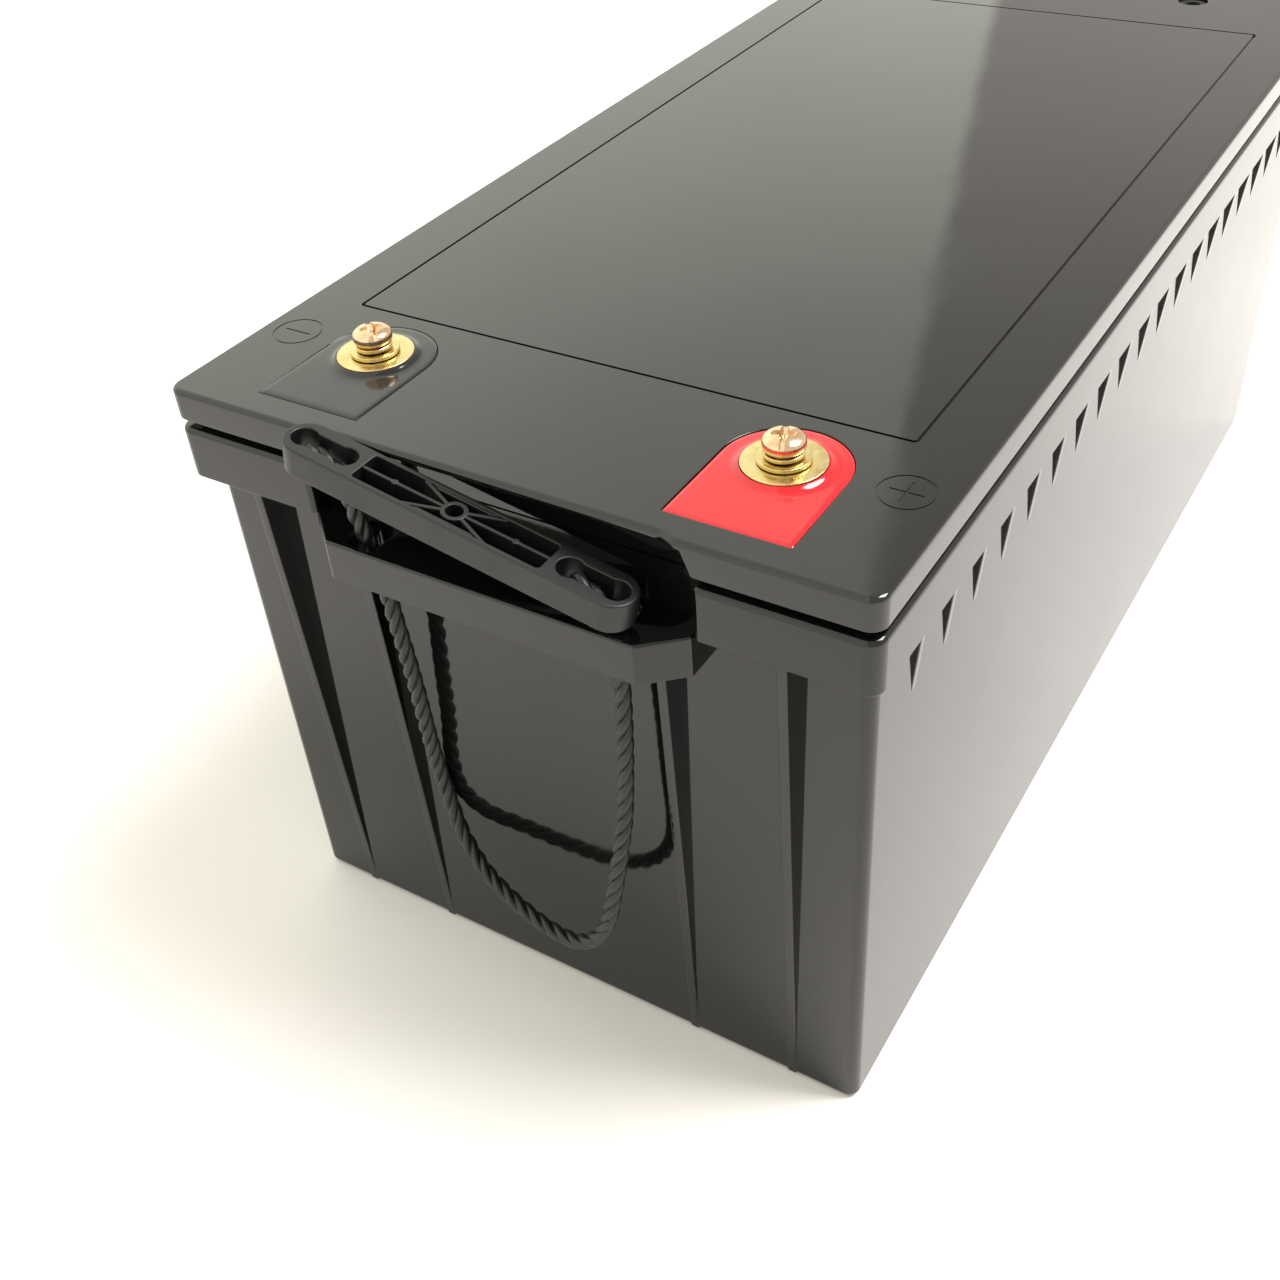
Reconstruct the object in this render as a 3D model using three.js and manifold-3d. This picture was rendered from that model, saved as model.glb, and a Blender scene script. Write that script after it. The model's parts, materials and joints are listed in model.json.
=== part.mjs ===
// Sealed 12.8 V lithium iron phosphate battery in a long ABS case, with a rope handle at each end.
// Millimetres. X runs along the case, the terminals are at its -X end, Z is up.
// The origin is the middle of the footprint, on the surface that the case stands on.
import * as THREE from "three";
import { mergeVertices } from "three/addons/utils/BufferGeometryUtils.js";
import Module from "manifold-3d";

const wasm = await Module();
wasm.setup();

// ---------- driving dimensions ----------
const RIM_LENGTH = 501; // over the rim band and the lid
const RIM_WIDTH = 240;
const LID_TOP = 220;
const RIM_TOP = 206.5;
const RIM_BOTTOM = 188.5;
const SKIRT_BOTTOM = 209.5;
const LID_SHEET = 3;
const CORNER_RADIUS = 4.2;
const GAP = 0.3; // between pieces that touch

const WALL_X = 242.8; // outer face of the end walls, from the middle
const WALL_Y = 115.8; // outer face of the long walls
const WALL = 3.2;
const FLOOR = 4;

const NOTCH_HALF = 66; // hand notch in the rim band at each end
const LID_NOTCH_HALF = 60.5;
const LID_EDGE_BACK = 1.9; // how far the lid's top sheet stands back over the notch
const LEDGE = { front: 261, top: 189.5, bottom: 175.5, frontHalf: 54, backHalf: 66 };
const ROPE_SLOT = { x: 252, y: 42.6, alongX: 14.4, alongY: 10.4, corner: 2 };

const END_RIB = { ys: [-92.2, -54, 54, 92.2], thick: 3.2, depth: 6.7, foot: 2 };
const GUSSET = { count: 20, pitch: 22.7, thick: 3, depth: 2.45, foot: 163.7 };

const PANEL = { halfX: 181, halfY: 98.7, groove: 1, depth: 0.8 };
const TERMINAL = { x: -206.8, y: 71.3 };
const WELL = { radius: 19.3, straightEnd: 33.2, floor: 213, cup: 2.5 };
const BUSH = { radius: 8, top: 220.3, collarRadius: 12, collarTop: 210.2, bottom: 202, bore: 3 };
const MARK = { x: -204.5, y: 106, radius: 8.25, bar: 10, line: 0.7, depth: 0.4 };
const VENT = { x: 218.4, y: -62, radius: 6.5, depth: 5 };

const FLAT_WASHER = { outer: 12.2, thick: 1.1 };
const SMALL_WASHER = { outer: 7.75, thick: 1.2 };
const SPRING_WASHER = { outer: 5.75, thick: 2.2, split: 0.12 };
const BOLT = { shank: 2.7, head: 6.15, rim: 2.2, dome: 2.2, engaged: 12 };
const WASHER_BORE = 3.2;

const GRIP = { length: 118, width: 14.8, height: 10, holeRadius: 4, holes: [38.25, 52.75], neck: 6.4 };
const FRONT_GRIP = { x: -256.7, y: 4.4, z: 213.2, tilt: 10.6 };
const REAR_GRIP = { x: 256.7, y: 0, z: LEDGE.top + GAP + GRIP.height, tilt: 0 };
const ROPE_RADIUS = 2.75;
const ROPE_STEPS = 56;
const KNOT_RADIUS = 3.6;
// The arc of the rope over a slot's neck: its top below the grip's top face, and its radius.
const CROSSING = { depth: 5, radius: 11.6 };

const CELL = { count: 4, thick: 54, wide: 174, tall: 190, postY: 61, postRadius: 7 };
const SEPARATOR = 1.4;
const CELL_STEP = CELL.thick + SEPARATOR + 2 * GAP;
const PAD = 3;
const POST_BORE = 3.2; // in the links, eyes and nuts on the cells' posts
const EYE = { radius: 8.5, thick: 2, lugThick: 2.4 };
const LEAD_RADIUS = 2.6;
const HARNESS_RADIUS = 1.8;
const SINK = { face: -168, thick: 3, finDepth: 7, finPitch: 14, finHalf: 1 };
const BOARD = { face: -167.7, thick: 1.6, halfWidth: 62, bottom: 34, top: 164 };
const CELL_FLOOR = FLOOR + PAD + 2 * GAP;
const CELL_TOP = CELL_FLOOR + CELL.tall;

// ---------- materials ----------
const finish = (color, roughness, metalness = 0) =>
  new THREE.MeshStandardMaterial({ color, roughness, metalness });
const MATERIALS = {
  abs: finish(0x141516, 0.16),
  grip: finish(0x1b1c1e, 0.5),
  rope: finish(0x0e0e10, 0.7),
  redResin: finish(0xe0212b, 0.15),
  blackResin: finish(0x101112, 0.12),
  yellowZinc: finish(0xc9a648, 0.3, 1),
  brass: finish(0xb8923f, 0.35, 1),
  copper: finish(0xb4633a, 0.35, 1),
  steel: finish(0xa9acb0, 0.4, 1),
  aluminium: finish(0xb9bdc2, 0.45, 1),
  cellWrap: finish(0x2b58a5, 0.45),
  board: finish(0x1e5b35, 0.5),
  glassBoard: finish(0xd7d2b4, 0.6),
  foam: finish(0x2a2b2d, 0.95),
  rubber: finish(0x0b0b0c, 0.75),
  redWire: finish(0xb0141c, 0.5),
  blackWire: finish(0x111214, 0.5),
  greyWire: finish(0x6d7075, 0.55),
};

// ---------- solids ----------
function toSolid(geometry) {
  const bare = new THREE.BufferGeometry();
  const loose = geometry.index ? geometry.toNonIndexed() : geometry;
  bare.setAttribute("position", loose.getAttribute("position"));
  const merged = mergeVertices(bare, 1e-4);
  return new wasm.Manifold(
    new wasm.Mesh({
      numProp: 3,
      vertProperties: new Float32Array(merged.attributes.position.array),
      triVerts: new Uint32Array(merged.index.array),
    }),
  );
}

function toGeometry(solid) {
  const mesh = solid.getMesh();
  const stride = mesh.numProp;
  const positions = new Float32Array(mesh.numVert * 3);
  for (let i = 0; i < mesh.numVert; i++) {
    positions.set(mesh.vertProperties.subarray(i * stride, i * stride + 3), i * 3);
  }
  const geometry = new THREE.BufferGeometry();
  geometry.setAttribute("position", new THREE.BufferAttribute(positions, 3));
  geometry.setIndex(new THREE.BufferAttribute(new Uint32Array(mesh.triVerts), 1));
  geometry.computeVertexNormals();
  return geometry;
}

const union = (solids) => solids.reduce((all, one) => all.add(one));
const cut = (solid, tools) => tools.reduce((left, tool) => left.subtract(tool), solid);

function box(xMin, xMax, yMin, yMax, zMin, zMax) {
  const geometry = new THREE.BoxGeometry(xMax - xMin, yMax - yMin, zMax - zMin);
  geometry.translate((xMin + xMax) / 2, (yMin + yMax) / 2, (zMin + zMax) / 2);
  return toSolid(geometry);
}

// A shape drawn in XY, raised from zMin to zMax.
function raise(shape, zMin, zMax, curveSegments = 8) {
  const geometry = new THREE.ExtrudeGeometry(shape, {
    depth: zMax - zMin,
    bevelEnabled: false,
    curveSegments,
  });
  geometry.translate(0, 0, zMin);
  return toSolid(geometry);
}

function roundedRectangle(halfX, halfY, radius) {
  const shape = new THREE.Shape();
  shape.moveTo(-halfX + radius, -halfY);
  shape.lineTo(halfX - radius, -halfY);
  shape.absarc(halfX - radius, -halfY + radius, radius, -Math.PI / 2, 0);
  shape.lineTo(halfX, halfY - radius);
  shape.absarc(halfX - radius, halfY - radius, radius, 0, Math.PI / 2);
  shape.lineTo(-halfX + radius, halfY);
  shape.absarc(-halfX + radius, halfY - radius, radius, Math.PI / 2, Math.PI);
  shape.lineTo(-halfX, -halfY + radius);
  shape.absarc(-halfX + radius, -halfY + radius, radius, Math.PI, Math.PI * 1.5);
  return shape;
}

const slab = (halfX, halfY, radius, zMin, zMax) =>
  raise(roundedRectangle(halfX, halfY, radius), zMin, zMax, 5);

function cylinder(x, y, radius, zMin, zMax, sides = 24) {
  const geometry = new THREE.CylinderGeometry(radius, radius, zMax - zMin, sides);
  geometry.rotateX(Math.PI / 2);
  geometry.translate(x, y, (zMin + zMax) / 2);
  return toSolid(geometry);
}

const ring = (x, y, outer, inner, zMin, zMax, sides = 24) =>
  cylinder(x, y, outer, zMin, zMax, sides).subtract(
    cylinder(x, y, inner, zMin - 1, zMax + 1, sides),
  );

// A round bar along a curve.
function tube(points, radius, steps, sides) {
  const section = new THREE.Shape();
  for (let i = 0; i < sides; i++) {
    const angle = (i / sides) * Math.PI * 2;
    const x = Math.cos(angle) * radius;
    const y = Math.sin(angle) * radius;
    if (i === 0) section.moveTo(x, y);
    else section.lineTo(x, y);
  }
  section.closePath();
  const curve = new THREE.CatmullRomCurve3(
    points.map((p) => new THREE.Vector3(...p)),
    false,
    "centripetal",
  );
  const geometry = new THREE.ExtrudeGeometry(section, { steps, extrudePath: curve });
  return toSolid(geometry);
}

const turnedHalfway = (solid) => solid.rotate([0, 0, 180]);
const atBothEnds = (solid) => [solid, turnedHalfway(solid)];

// ---------- case ----------
// A thin rib on a wall: deep at the top, running out to nothing at its foot.
function taperedRib(wallAt, depth, foot, fullTop, top, thick) {
  const depthAtTop = (depth * (top - foot)) / (fullTop - foot);
  const profile = new THREE.Shape();
  profile.moveTo(wallAt + 1, foot);
  profile.lineTo(wallAt, foot);
  profile.lineTo(wallAt - depthAtTop, top);
  profile.lineTo(wallAt + 1, top);
  profile.closePath();
  const geometry = new THREE.ExtrudeGeometry(profile, { depth: thick, bevelEnabled: false });
  geometry.rotateX(Math.PI / 2);
  geometry.translate(0, thick / 2, 0);
  return toSolid(geometry);
}

function endRibs() {
  return END_RIB.ys.map((y) => {
    const underLedge = Math.abs(y) < NOTCH_HALF;
    const top = underLedge ? LEDGE.bottom + 1 : RIM_BOTTOM + 1;
    return taperedRib(
      -WALL_X, END_RIB.depth, END_RIB.foot, RIM_BOTTOM, top, END_RIB.thick,
    ).translate([0, y, 0]);
  });
}

function gussets() {
  const one = taperedRib(
    -WALL_Y, GUSSET.depth, GUSSET.foot, RIM_BOTTOM, RIM_BOTTOM + 1, GUSSET.thick,
  ).rotate([0, 0, 90]);
  const row = [];
  for (let i = 0; i < GUSSET.count; i++) {
    const x = (i - (GUSSET.count - 1) / 2) * GUSSET.pitch;
    row.push(one.translate([x, 0, 0]));
  }
  return row;
}

function ledge() {
  const plan = new THREE.Shape();
  plan.moveTo(-WALL_X + 1, -LEDGE.backHalf);
  plan.lineTo(-WALL_X + 1, LEDGE.backHalf);
  plan.lineTo(-RIM_LENGTH / 2, LEDGE.backHalf);
  plan.lineTo(-LEDGE.front, LEDGE.frontHalf);
  plan.lineTo(-LEDGE.front, -LEDGE.frontHalf);
  plan.lineTo(-RIM_LENGTH / 2, -LEDGE.backHalf);
  plan.closePath();
  return raise(plan, LEDGE.bottom, LEDGE.top);
}

function ropeSlots() {
  const slot = roundedRectangle(ROPE_SLOT.alongX / 2, ROPE_SLOT.alongY / 2, ROPE_SLOT.corner);
  const hole = raise(slot, LEDGE.bottom - 1, LEDGE.top + 1, 3);
  return [-1, 1].map((side) => hole.translate([-ROPE_SLOT.x, side * ROPE_SLOT.y, 0]));
}

function makeCase() {
  const body = slab(WALL_X, WALL_Y, CORNER_RADIUS, 0, RIM_TOP);
  const band = slab(RIM_LENGTH / 2, RIM_WIDTH / 2, CORNER_RADIUS + 1, RIM_BOTTOM, RIM_TOP);
  const notch = box(-RIM_LENGTH, -WALL_X, -NOTCH_HALF, NOTCH_HALF, RIM_BOTTOM - 1, RIM_TOP + 1);
  const cavity = slab(WALL_X - WALL, WALL_Y - WALL, CORNER_RADIUS - WALL, FLOOR, RIM_TOP + 1);
  const notchedBand = cut(band, atBothEnds(notch));
  const outside = union([
    body,
    notchedBand,
    ...endRibs().flatMap(atBothEnds),
    ...gussets().flatMap(atBothEnds),
    ...atBothEnds(ledge()),
  ]);
  return cut(outside, [cavity, ...ropeSlots().flatMap(atBothEnds)]);
}

// ---------- lid ----------
// The well's outline: square at the end of the case, a half circle towards its middle.
function wellShape(grow) {
  const radius = WELL.radius + grow;
  const shape = new THREE.Shape();
  shape.moveTo(-WELL.straightEnd - grow, radius);
  shape.lineTo(-WELL.straightEnd - grow, -radius);
  shape.lineTo(0, -radius);
  shape.absarc(0, 0, radius, -Math.PI / 2, Math.PI / 2);
  shape.closePath();
  return shape;
}

const well = (side, grow, zMin, zMax) =>
  raise(wellShape(grow), zMin, zMax, 12).translate([TERMINAL.x, side * TERMINAL.y, 0]);

function panelGroove() {
  const z = LID_TOP - PANEL.depth;
  const half = PANEL.groove / 2;
  return slab(PANEL.halfX + half, PANEL.halfY + half, 1.6, z, LID_TOP + 1).subtract(
    slab(PANEL.halfX - half, PANEL.halfY - half, 0.8, z - 1, LID_TOP + 2),
  );
}

function lidNotch() {
  const outline = new THREE.Shape();
  outline.moveTo(-NOTCH_HALF, SKIRT_BOTTOM - 4);
  outline.lineTo(NOTCH_HALF, SKIRT_BOTTOM - 4);
  outline.lineTo(LID_NOTCH_HALF, LID_TOP + 1);
  outline.lineTo(-LID_NOTCH_HALF, LID_TOP + 1);
  outline.closePath();
  const geometry = new THREE.ExtrudeGeometry(outline, { depth: 30, bevelEnabled: false });
  geometry.rotateX(Math.PI / 2);
  geometry.rotateZ(-Math.PI / 2);
  const wedge = toSolid(geometry);
  const under = wedge.translate([-WALL_X, 0, 0]).intersect(
    box(-RIM_LENGTH, RIM_LENGTH, -200, 200, 0, LID_TOP - LID_SHEET + 0.5),
  );
  const edge = wedge.translate([-RIM_LENGTH / 2 + LID_EDGE_BACK, 0, 0]);
  return union([under, edge]);
}

// A polarity sign cut into the lid: a ring with a minus or a plus in it.
function polarityMark(side) {
  const z = LID_TOP - MARK.depth;
  const half = MARK.line / 2;
  const bar = box(-half, half, -MARK.bar / 2, MARK.bar / 2, z, LID_TOP + 1);
  const strokes = side < 0 ? [bar, bar.rotate([0, 0, 90])] : [bar];
  const circle = ring(0, 0, MARK.radius, MARK.radius - MARK.line, z, LID_TOP + 1, 28);
  return union([circle, ...strokes]).translate([MARK.x, side * MARK.y, 0]);
}

function makeLid() {
  const halfX = RIM_LENGTH / 2;
  const halfY = RIM_WIDTH / 2;
  const neckBottom = RIM_TOP + GAP;
  const shell = union([
    slab(halfX, halfY, CORNER_RADIUS + 1, SKIRT_BOTTOM, LID_TOP),
    slab(halfX - 3.7, halfY - 3.7, CORNER_RADIUS - 2, neckBottom, SKIRT_BOTTOM + 1),
  ]);
  const hollow = slab(
    WALL_X - WALL, WALL_Y - WALL, CORNER_RADIUS - WALL, neckBottom - 1, LID_TOP - LID_SHEET,
  );
  const cups = [-1, 1].map((side) => well(side, WELL.cup, WELL.floor - WELL.cup, LID_TOP - 1));
  const wells = [-1, 1].map((side) => well(side, 0, WELL.floor, LID_TOP + 1));
  const bores = [-1, 1].map((side) =>
    cylinder(TERMINAL.x, side * TERMINAL.y, BUSH.radius + GAP, 200, LID_TOP + 1));
  const ventCup = cylinder(VENT.x, VENT.y, VENT.radius + 3, LID_TOP - VENT.depth - 2.5, LID_TOP - 1);
  const ventBore = union([
    cylinder(VENT.x, VENT.y, VENT.radius, LID_TOP - VENT.depth, LID_TOP + 1),
    cylinder(VENT.x, VENT.y, 2, LID_TOP - VENT.depth - 5, LID_TOP),
  ]);
  const solid = union([shell.subtract(hollow), ...cups, ventCup]);
  return cut(solid, [
    ...wells,
    ...bores,
    ventBore,
    panelGroove(),
    polarityMark(-1),
    polarityMark(1),
    ...atBothEnds(lidNotch()),
  ]);
}

// ---------- terminals ----------
const STACK = {};
STACK.flat = BUSH.top + GAP;
STACK.small = STACK.flat + FLAT_WASHER.thick + GAP;
STACK.spring = STACK.small + SMALL_WASHER.thick + GAP;
STACK.head = STACK.spring + SPRING_WASHER.thick + GAP;

function makeWellFill(side) {
  const bore = cylinder(TERMINAL.x, side * TERMINAL.y, BUSH.radius + GAP, 200, LID_TOP + 1);
  return well(side, -GAP, WELL.floor + GAP, LID_TOP - 0.1).subtract(bore);
}

function makeBush() {
  const { radius, top, collarRadius, collarTop, bottom, bore } = BUSH;
  return union([
    cylinder(0, 0, radius, bottom, top),
    cylinder(0, 0, collarRadius, bottom + 3, collarTop, 6),
  ]).subtract(cylinder(0, 0, bore, bottom - 1, top + 1, 16));
}

function makeSpringWasher() {
  const { outer, thick, split } = SPRING_WASHER;
  const section = new THREE.Shape();
  section.moveTo(-(outer - WASHER_BORE) / 2, -thick / 4);
  section.lineTo((outer - WASHER_BORE) / 2, -thick / 4);
  section.lineTo((outer - WASHER_BORE) / 2, thick / 4);
  section.lineTo(-(outer - WASHER_BORE) / 2, thick / 4);
  section.closePath();
  const middle = (outer + WASHER_BORE) / 2;
  const turns = 28;
  const positions = [];
  const index = [];
  const corners = section.getPoints();
  if (corners[0].distanceTo(corners.at(-1)) < 1e-6) corners.pop();
  for (let i = 0; i <= turns; i++) {
    const angle = split + ((Math.PI * 2 - 2 * split) * i) / turns;
    const rise = thick / 4 + (thick / 2) * (i / turns);
    corners.forEach((corner) => {
      const reach = middle + corner.x;
      positions.push(Math.cos(angle) * reach, Math.sin(angle) * reach, rise + corner.y);
    });
  }
  const n = corners.length;
  for (let i = 0; i < turns; i++) {
    for (let k = 0; k < n; k++) {
      const a = i * n + k;
      const b = i * n + ((k + 1) % n);
      index.push(a, a + n, b, b, a + n, b + n);
    }
  }
  const last = turns * n;
  index.push(0, 1, 2, 0, 2, 3);
  index.push(last, last + 2, last + 1, last, last + 3, last + 2);
  const geometry = new THREE.BufferGeometry();
  geometry.setAttribute("position", new THREE.Float32BufferAttribute(positions, 3));
  geometry.setIndex(index);
  return toSolid(geometry);
}

// A pan head with a cross recess, on a plain shank. Its seat is at z = 0.
function makeBolt() {
  const { shank, head, rim, dome, engaged } = BOLT;
  const end = -engaged - (STACK.head - LID_TOP);
  const profile = [[0, end], [shank, end], [shank, 0], [head, 0], [head, rim]]
    .map(([reach, z]) => new THREE.Vector2(reach, z));
  const steps = 4;
  for (let i = 1; i <= steps; i++) {
    const angle = (Math.PI / 2) * (i / steps);
    const reach = i === steps ? 0 : head * Math.cos(angle);
    profile.push(new THREE.Vector2(reach, rim + dome * Math.sin(angle)));
  }
  const lathe = new THREE.LatheGeometry(profile, 20);
  lathe.rotateX(Math.PI / 2);
  const top = rim + dome;
  const wing = box(-3.4, 3.4, -0.65, 0.65, top - 2.4, top + 1);
  return cut(toSolid(lathe), [wing, wing.rotate([0, 0, 90])]);
}

// ---------- handles ----------
function gripHoles() {
  const [inner, outer] = GRIP.holes;
  const neck = box(inner, outer, -GRIP.neck / 2, GRIP.neck / 2, -GRIP.height - 1, 1);
  const one = union([
    cylinder(inner, 0, GRIP.holeRadius, -GRIP.height - 1, 1, 16),
    cylinder(outer, 0, GRIP.holeRadius, -GRIP.height - 1, 1, 16),
    neck,
  ]);
  return atBothEnds(one);
}

function makeGrip() {
  const radius = GRIP.width / 2;
  const bar = raise(
    roundedRectangle(GRIP.length / 2, radius, radius - 0.05), -GRIP.height, 0, 8,
  );
  const pocketEnd = GRIP.holes[0] - GRIP.holeRadius - 3;
  const inside = radius - 1.8;
  const pocket = box(-pocketEnd, pocketEnd, -inside, inside, -GRIP.height + 2.2, 1);
  const reach = Math.atan2(inside, pocketEnd * 0.55);
  const diagonal = box(-pocketEnd * 0.7, pocketEnd * 0.7, -0.6, 0.6, -GRIP.height + 1, -0.6);
  const ribs = union([
    box(-pocketEnd - 1, pocketEnd + 1, -0.6, 0.6, -GRIP.height + 1, -0.6),
    diagonal.rotate([0, 0, (reach * 180) / Math.PI]),
    diagonal.rotate([0, 0, (-reach * 180) / Math.PI]),
    cylinder(0, 0, 4, -GRIP.height + 1, -0.3, 16),
  ]).intersect(box(-pocketEnd - 1, pocketEnd + 1, -radius + 1, radius - 1, -20, 1));
  const body = bar.subtract(pocket).add(ribs);
  return cut(body, [...gripHoles(), cylinder(0, 0, 2.6, -GRIP.height + 2.2, 1, 12)]);
}

// A place in a grip: `along` the bar towards +Y from its middle, `down` from its top face.
function inGrip(pose, along, down, lean = 0) {
  const tilt = (pose.tilt * Math.PI) / 180;
  return [
    pose.x + lean,
    pose.y + along * Math.cos(tilt) + down * Math.sin(tilt),
    pose.z + along * Math.sin(tilt) - down * Math.cos(tilt),
  ];
}

// From the knot in one hole of a slot, round an arc over the neck and down out of the grip at `rise`.
function ropeInGrip(pose, side, knot, rise, sweep, lean) {
  const way = Math.sign(knot - rise);
  const top = rise + way * CROSSING.radius;
  const drop = CROSSING.radius - Math.sqrt(CROSSING.radius ** 2 - (knot - top) ** 2);
  const points = [inGrip(pose, side * knot, CROSSING.depth + drop)];
  for (const part of [0, 0.25, 0.5, 0.75, 1]) {
    const angle = (part * sweep * Math.PI) / 180;
    const along = top - way * CROSSING.radius * Math.sin(angle);
    const down = CROSSING.depth + CROSSING.radius * (1 - Math.cos(angle));
    points.push(inGrip(pose, side * along, down, lean * part ** 2));
  }
  return points;
}

// The front rope: down through the ledge, against the wall, round a bow in front of it, and up.
function frontRope() {
  const [inner, outer] = GRIP.holes;
  const hanging = [
    [-255.6, 43.8, 199], [-254.2, 43.2, 191], [-253.1, 42.4, 182], [-252.4, 41.4, 170],
    [-251.9, 40.8, 158], [-250.8, 40.5, 144], [-249.5, 40.5, 128], [-248.2, 40.6, 106],
    [-246.4, 41, 88], [-246.2, 39, 74], [-249.6, 32.4, 62.6], [-255, 19.5, 55.2],
    [-258.8, 3.5, 50.4], [-261.2, -11.5, 48.8], [-262.8, -23, 51.6], [-263.4, -31.4, 59],
    [-262.9, -36.6, 70], [-261.2, -39.2, 84], [-258.4, -40.8, 99], [-255.9, -42, 114],
    [-254.2, -42.7, 132], [-252.8, -43, 152], [-252.6, -43.2, 166], [-253.9, -43.6, 178],
  ];
  const knotOut = ropeInGrip(FRONT_GRIP, 1, outer, inner - 0.85, 80, 0.3);
  const knotIn = ropeInGrip(FRONT_GRIP, -1, inner, outer - 0.15, 90, 0.9);
  return [...knotOut, ...hanging, ...knotIn.reverse()];
}

// The rear rope hangs evenly from a grip that rests on its ledge.
function rearRope() {
  const x = REAR_GRIP.x;
  const hanging = [
    [x - 2, 41.2, 177], [x - 3.3, 41.4, 168], [x - 4.3, 41.5, 158], [x - 5.2, 41.5, 146],
    [x - 5.6, 41.4, 130], [x - 4.6, 41.3, 108], [x - 2.2, 40.4, 84], [x + 0.6, 36.6, 61],
    [x + 2.2, 29, 44], [x + 3.2, 17.6, 33.6], [x + 3.8, 6, 29.4],
  ];
  const half = [...ropeInGrip(REAR_GRIP, 1, GRIP.holes[1], 41, 90, -1.1), ...hanging];
  return [...half, ...half.map(([px, py, pz]) => [px, -py, pz]).reverse()];
}

function makeRope(points) {
  const knots = [points[0], points.at(-1)].map(([x, y, z]) =>
    toSolid(new THREE.SphereGeometry(KNOT_RADIUS, 10, 6)).translate([x, y, z]));
  return union([tube(points, ROPE_RADIUS, ROPE_STEPS, 8), ...knots]);
}

// ---------- cells and what joins them ----------
const cellX = (i) => (i - (CELL.count - 1) / 2) * CELL_STEP;
const PACK_HALF = (CELL_STEP * CELL.count - SEPARATOR) / 2;
const BUSBAR = { thick: 2, wide: 18 };

function makeCell() {
  const shape = roundedRectangle(CELL.thick / 2, CELL.wide / 2, 3);
  const posts = [-1, 1].map((side) => union([
    cylinder(0, side * CELL.postY, CELL.postRadius, CELL_TOP - 1, CELL_TOP + 1, 12),
    cylinder(0, side * CELL.postY, 2.8, CELL_TOP - 1, CELL_TOP + 9, 8),
  ]));
  const vent = cylinder(0, 0, 8, CELL_TOP - 0.5, CELL_TOP + 0.6, 12);
  return union([raise(shape, CELL_FLOOR, CELL_TOP, 2), ...posts, vent]);
}

const LINK_Z = CELL_TOP + 1 + GAP;

// A flat copper link over the posts of two neighbouring cells.
function makeBusbar() {
  const half = CELL_STEP / 2;
  const bar = raise(roundedRectangle(half + 9, BUSBAR.wide / 2, 3), LINK_Z, LINK_Z + BUSBAR.thick, 3);
  return cut(bar, [-1, 1].map((side) => cylinder(side * half, 0, POST_BORE, 190, 220, 12)));
}

function makeNut() {
  const z = LINK_Z + BUSBAR.thick + GAP;
  return cylinder(0, 0, 5.6, z, z + 4, 6).subtract(cylinder(0, 0, POST_BORE, z - 1, z + 6, 12));
}

function makeBand(zMin) {
  const halfX = PACK_HALF + 5.2;
  const halfY = CELL.wide / 2 + GAP;
  return slab(halfX + 0.9, halfY + 0.9, 4, zMin, zMin + 16).subtract(
    slab(halfX, halfY, 3.4, zMin - 1, zMin + 17),
  );
}

function makeHeatSink() {
  const back = SINK.face - SINK.thick;
  const fins = [];
  for (let i = -4; i <= 4; i++) {
    const y = i * SINK.finPitch;
    const [yMin, yMax] = [y - SINK.finHalf, y + SINK.finHalf];
    fins.push(box(back + 1 - SINK.finDepth, back + 1, yMin, yMax, 40, 160));
  }
  return union([box(back, SINK.face, -66, 66, 30, 168), ...fins]);
}

// The management board, with its row of power transistors, resistors, a chip and two connectors.
function makeBoard() {
  const { face, thick, halfWidth, bottom, top } = BOARD;
  const mounted = (proud, yMin, yMax, zMin, zMax) =>
    box(face + 1, face + thick + proud, yMin, yMax, zMin, zMax);
  const parts = [];
  for (let i = -3; i <= 3; i++) {
    const y = i * 16;
    parts.push(mounted(5, y - 5, y + 5, 120, 134));
    parts.push(mounted(2.6, y - 3, y + 3, 62, 70));
  }
  parts.push(mounted(2.4, -14, 14, 84, 104));
  parts.push(mounted(7.4, 38, 54, 78, 112));
  parts.push(mounted(5.4, -11, 11, 144, 154));
  return union([box(face, face + thick, -halfWidth, halfWidth, bottom, top), ...parts]);
}

// A lead with a flat lug at its upper end, under the terminal bush.
function lug(x, y, z, turn) {
  const { radius, lugThick } = EYE;
  const eye = cylinder(0, 0, radius, 0, lugThick, 20).add(box(-4, 4, -19, 0, 0, lugThick));
  return eye.subtract(cylinder(0, 0, 2.9, -1, 4, 12)).rotate([0, 0, turn]).translate([x, y, z]);
}

const LUG_Z = BUSH.bottom - GAP - EYE.lugThick;

function makePositiveLead() {
  const y = -TERMINAL.y;
  const start = cellX(0);
  const cable = tube([
    [start - 11, y + 10.3, 202.6], [start - 30, y + 10, 203], [start - 60, y + 7, 203.2],
    [TERMINAL.x + 40, y + 3, 201.6], [TERMINAL.x + 17, y, 200.6],
  ], LEAD_RADIUS, 10, 8);
  const top = LINK_Z + EYE.thick;
  const cellEye = cylinder(start, -CELL.postY, EYE.radius, LINK_Z, top, 16)
    .add(box(start - 16, start, -CELL.postY - 4, -CELL.postY + 4, LINK_Z, top))
    .subtract(cylinder(start, -CELL.postY, POST_BORE, 190, 220, 12));
  return union([cable, cellEye, lug(TERMINAL.x, y, LUG_Z, 90)]);
}

function makeNegativeLead() {
  const y = TERMINAL.y;
  const cable = tube([
    [-161.4, 44, 150], [-157, 44, 158], [-154, 47, 176], [-160, 56, 192],
    [-176, 66, 200.2], [TERMINAL.x + 17, y, 200.6],
  ], LEAD_RADIUS, 14, 8);
  return union([
    cable,
    lug(TERMINAL.x, y, LUG_Z, 90),
    box(-165.8, -160, 38, 50, 138, 153),
  ]);
}

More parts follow.
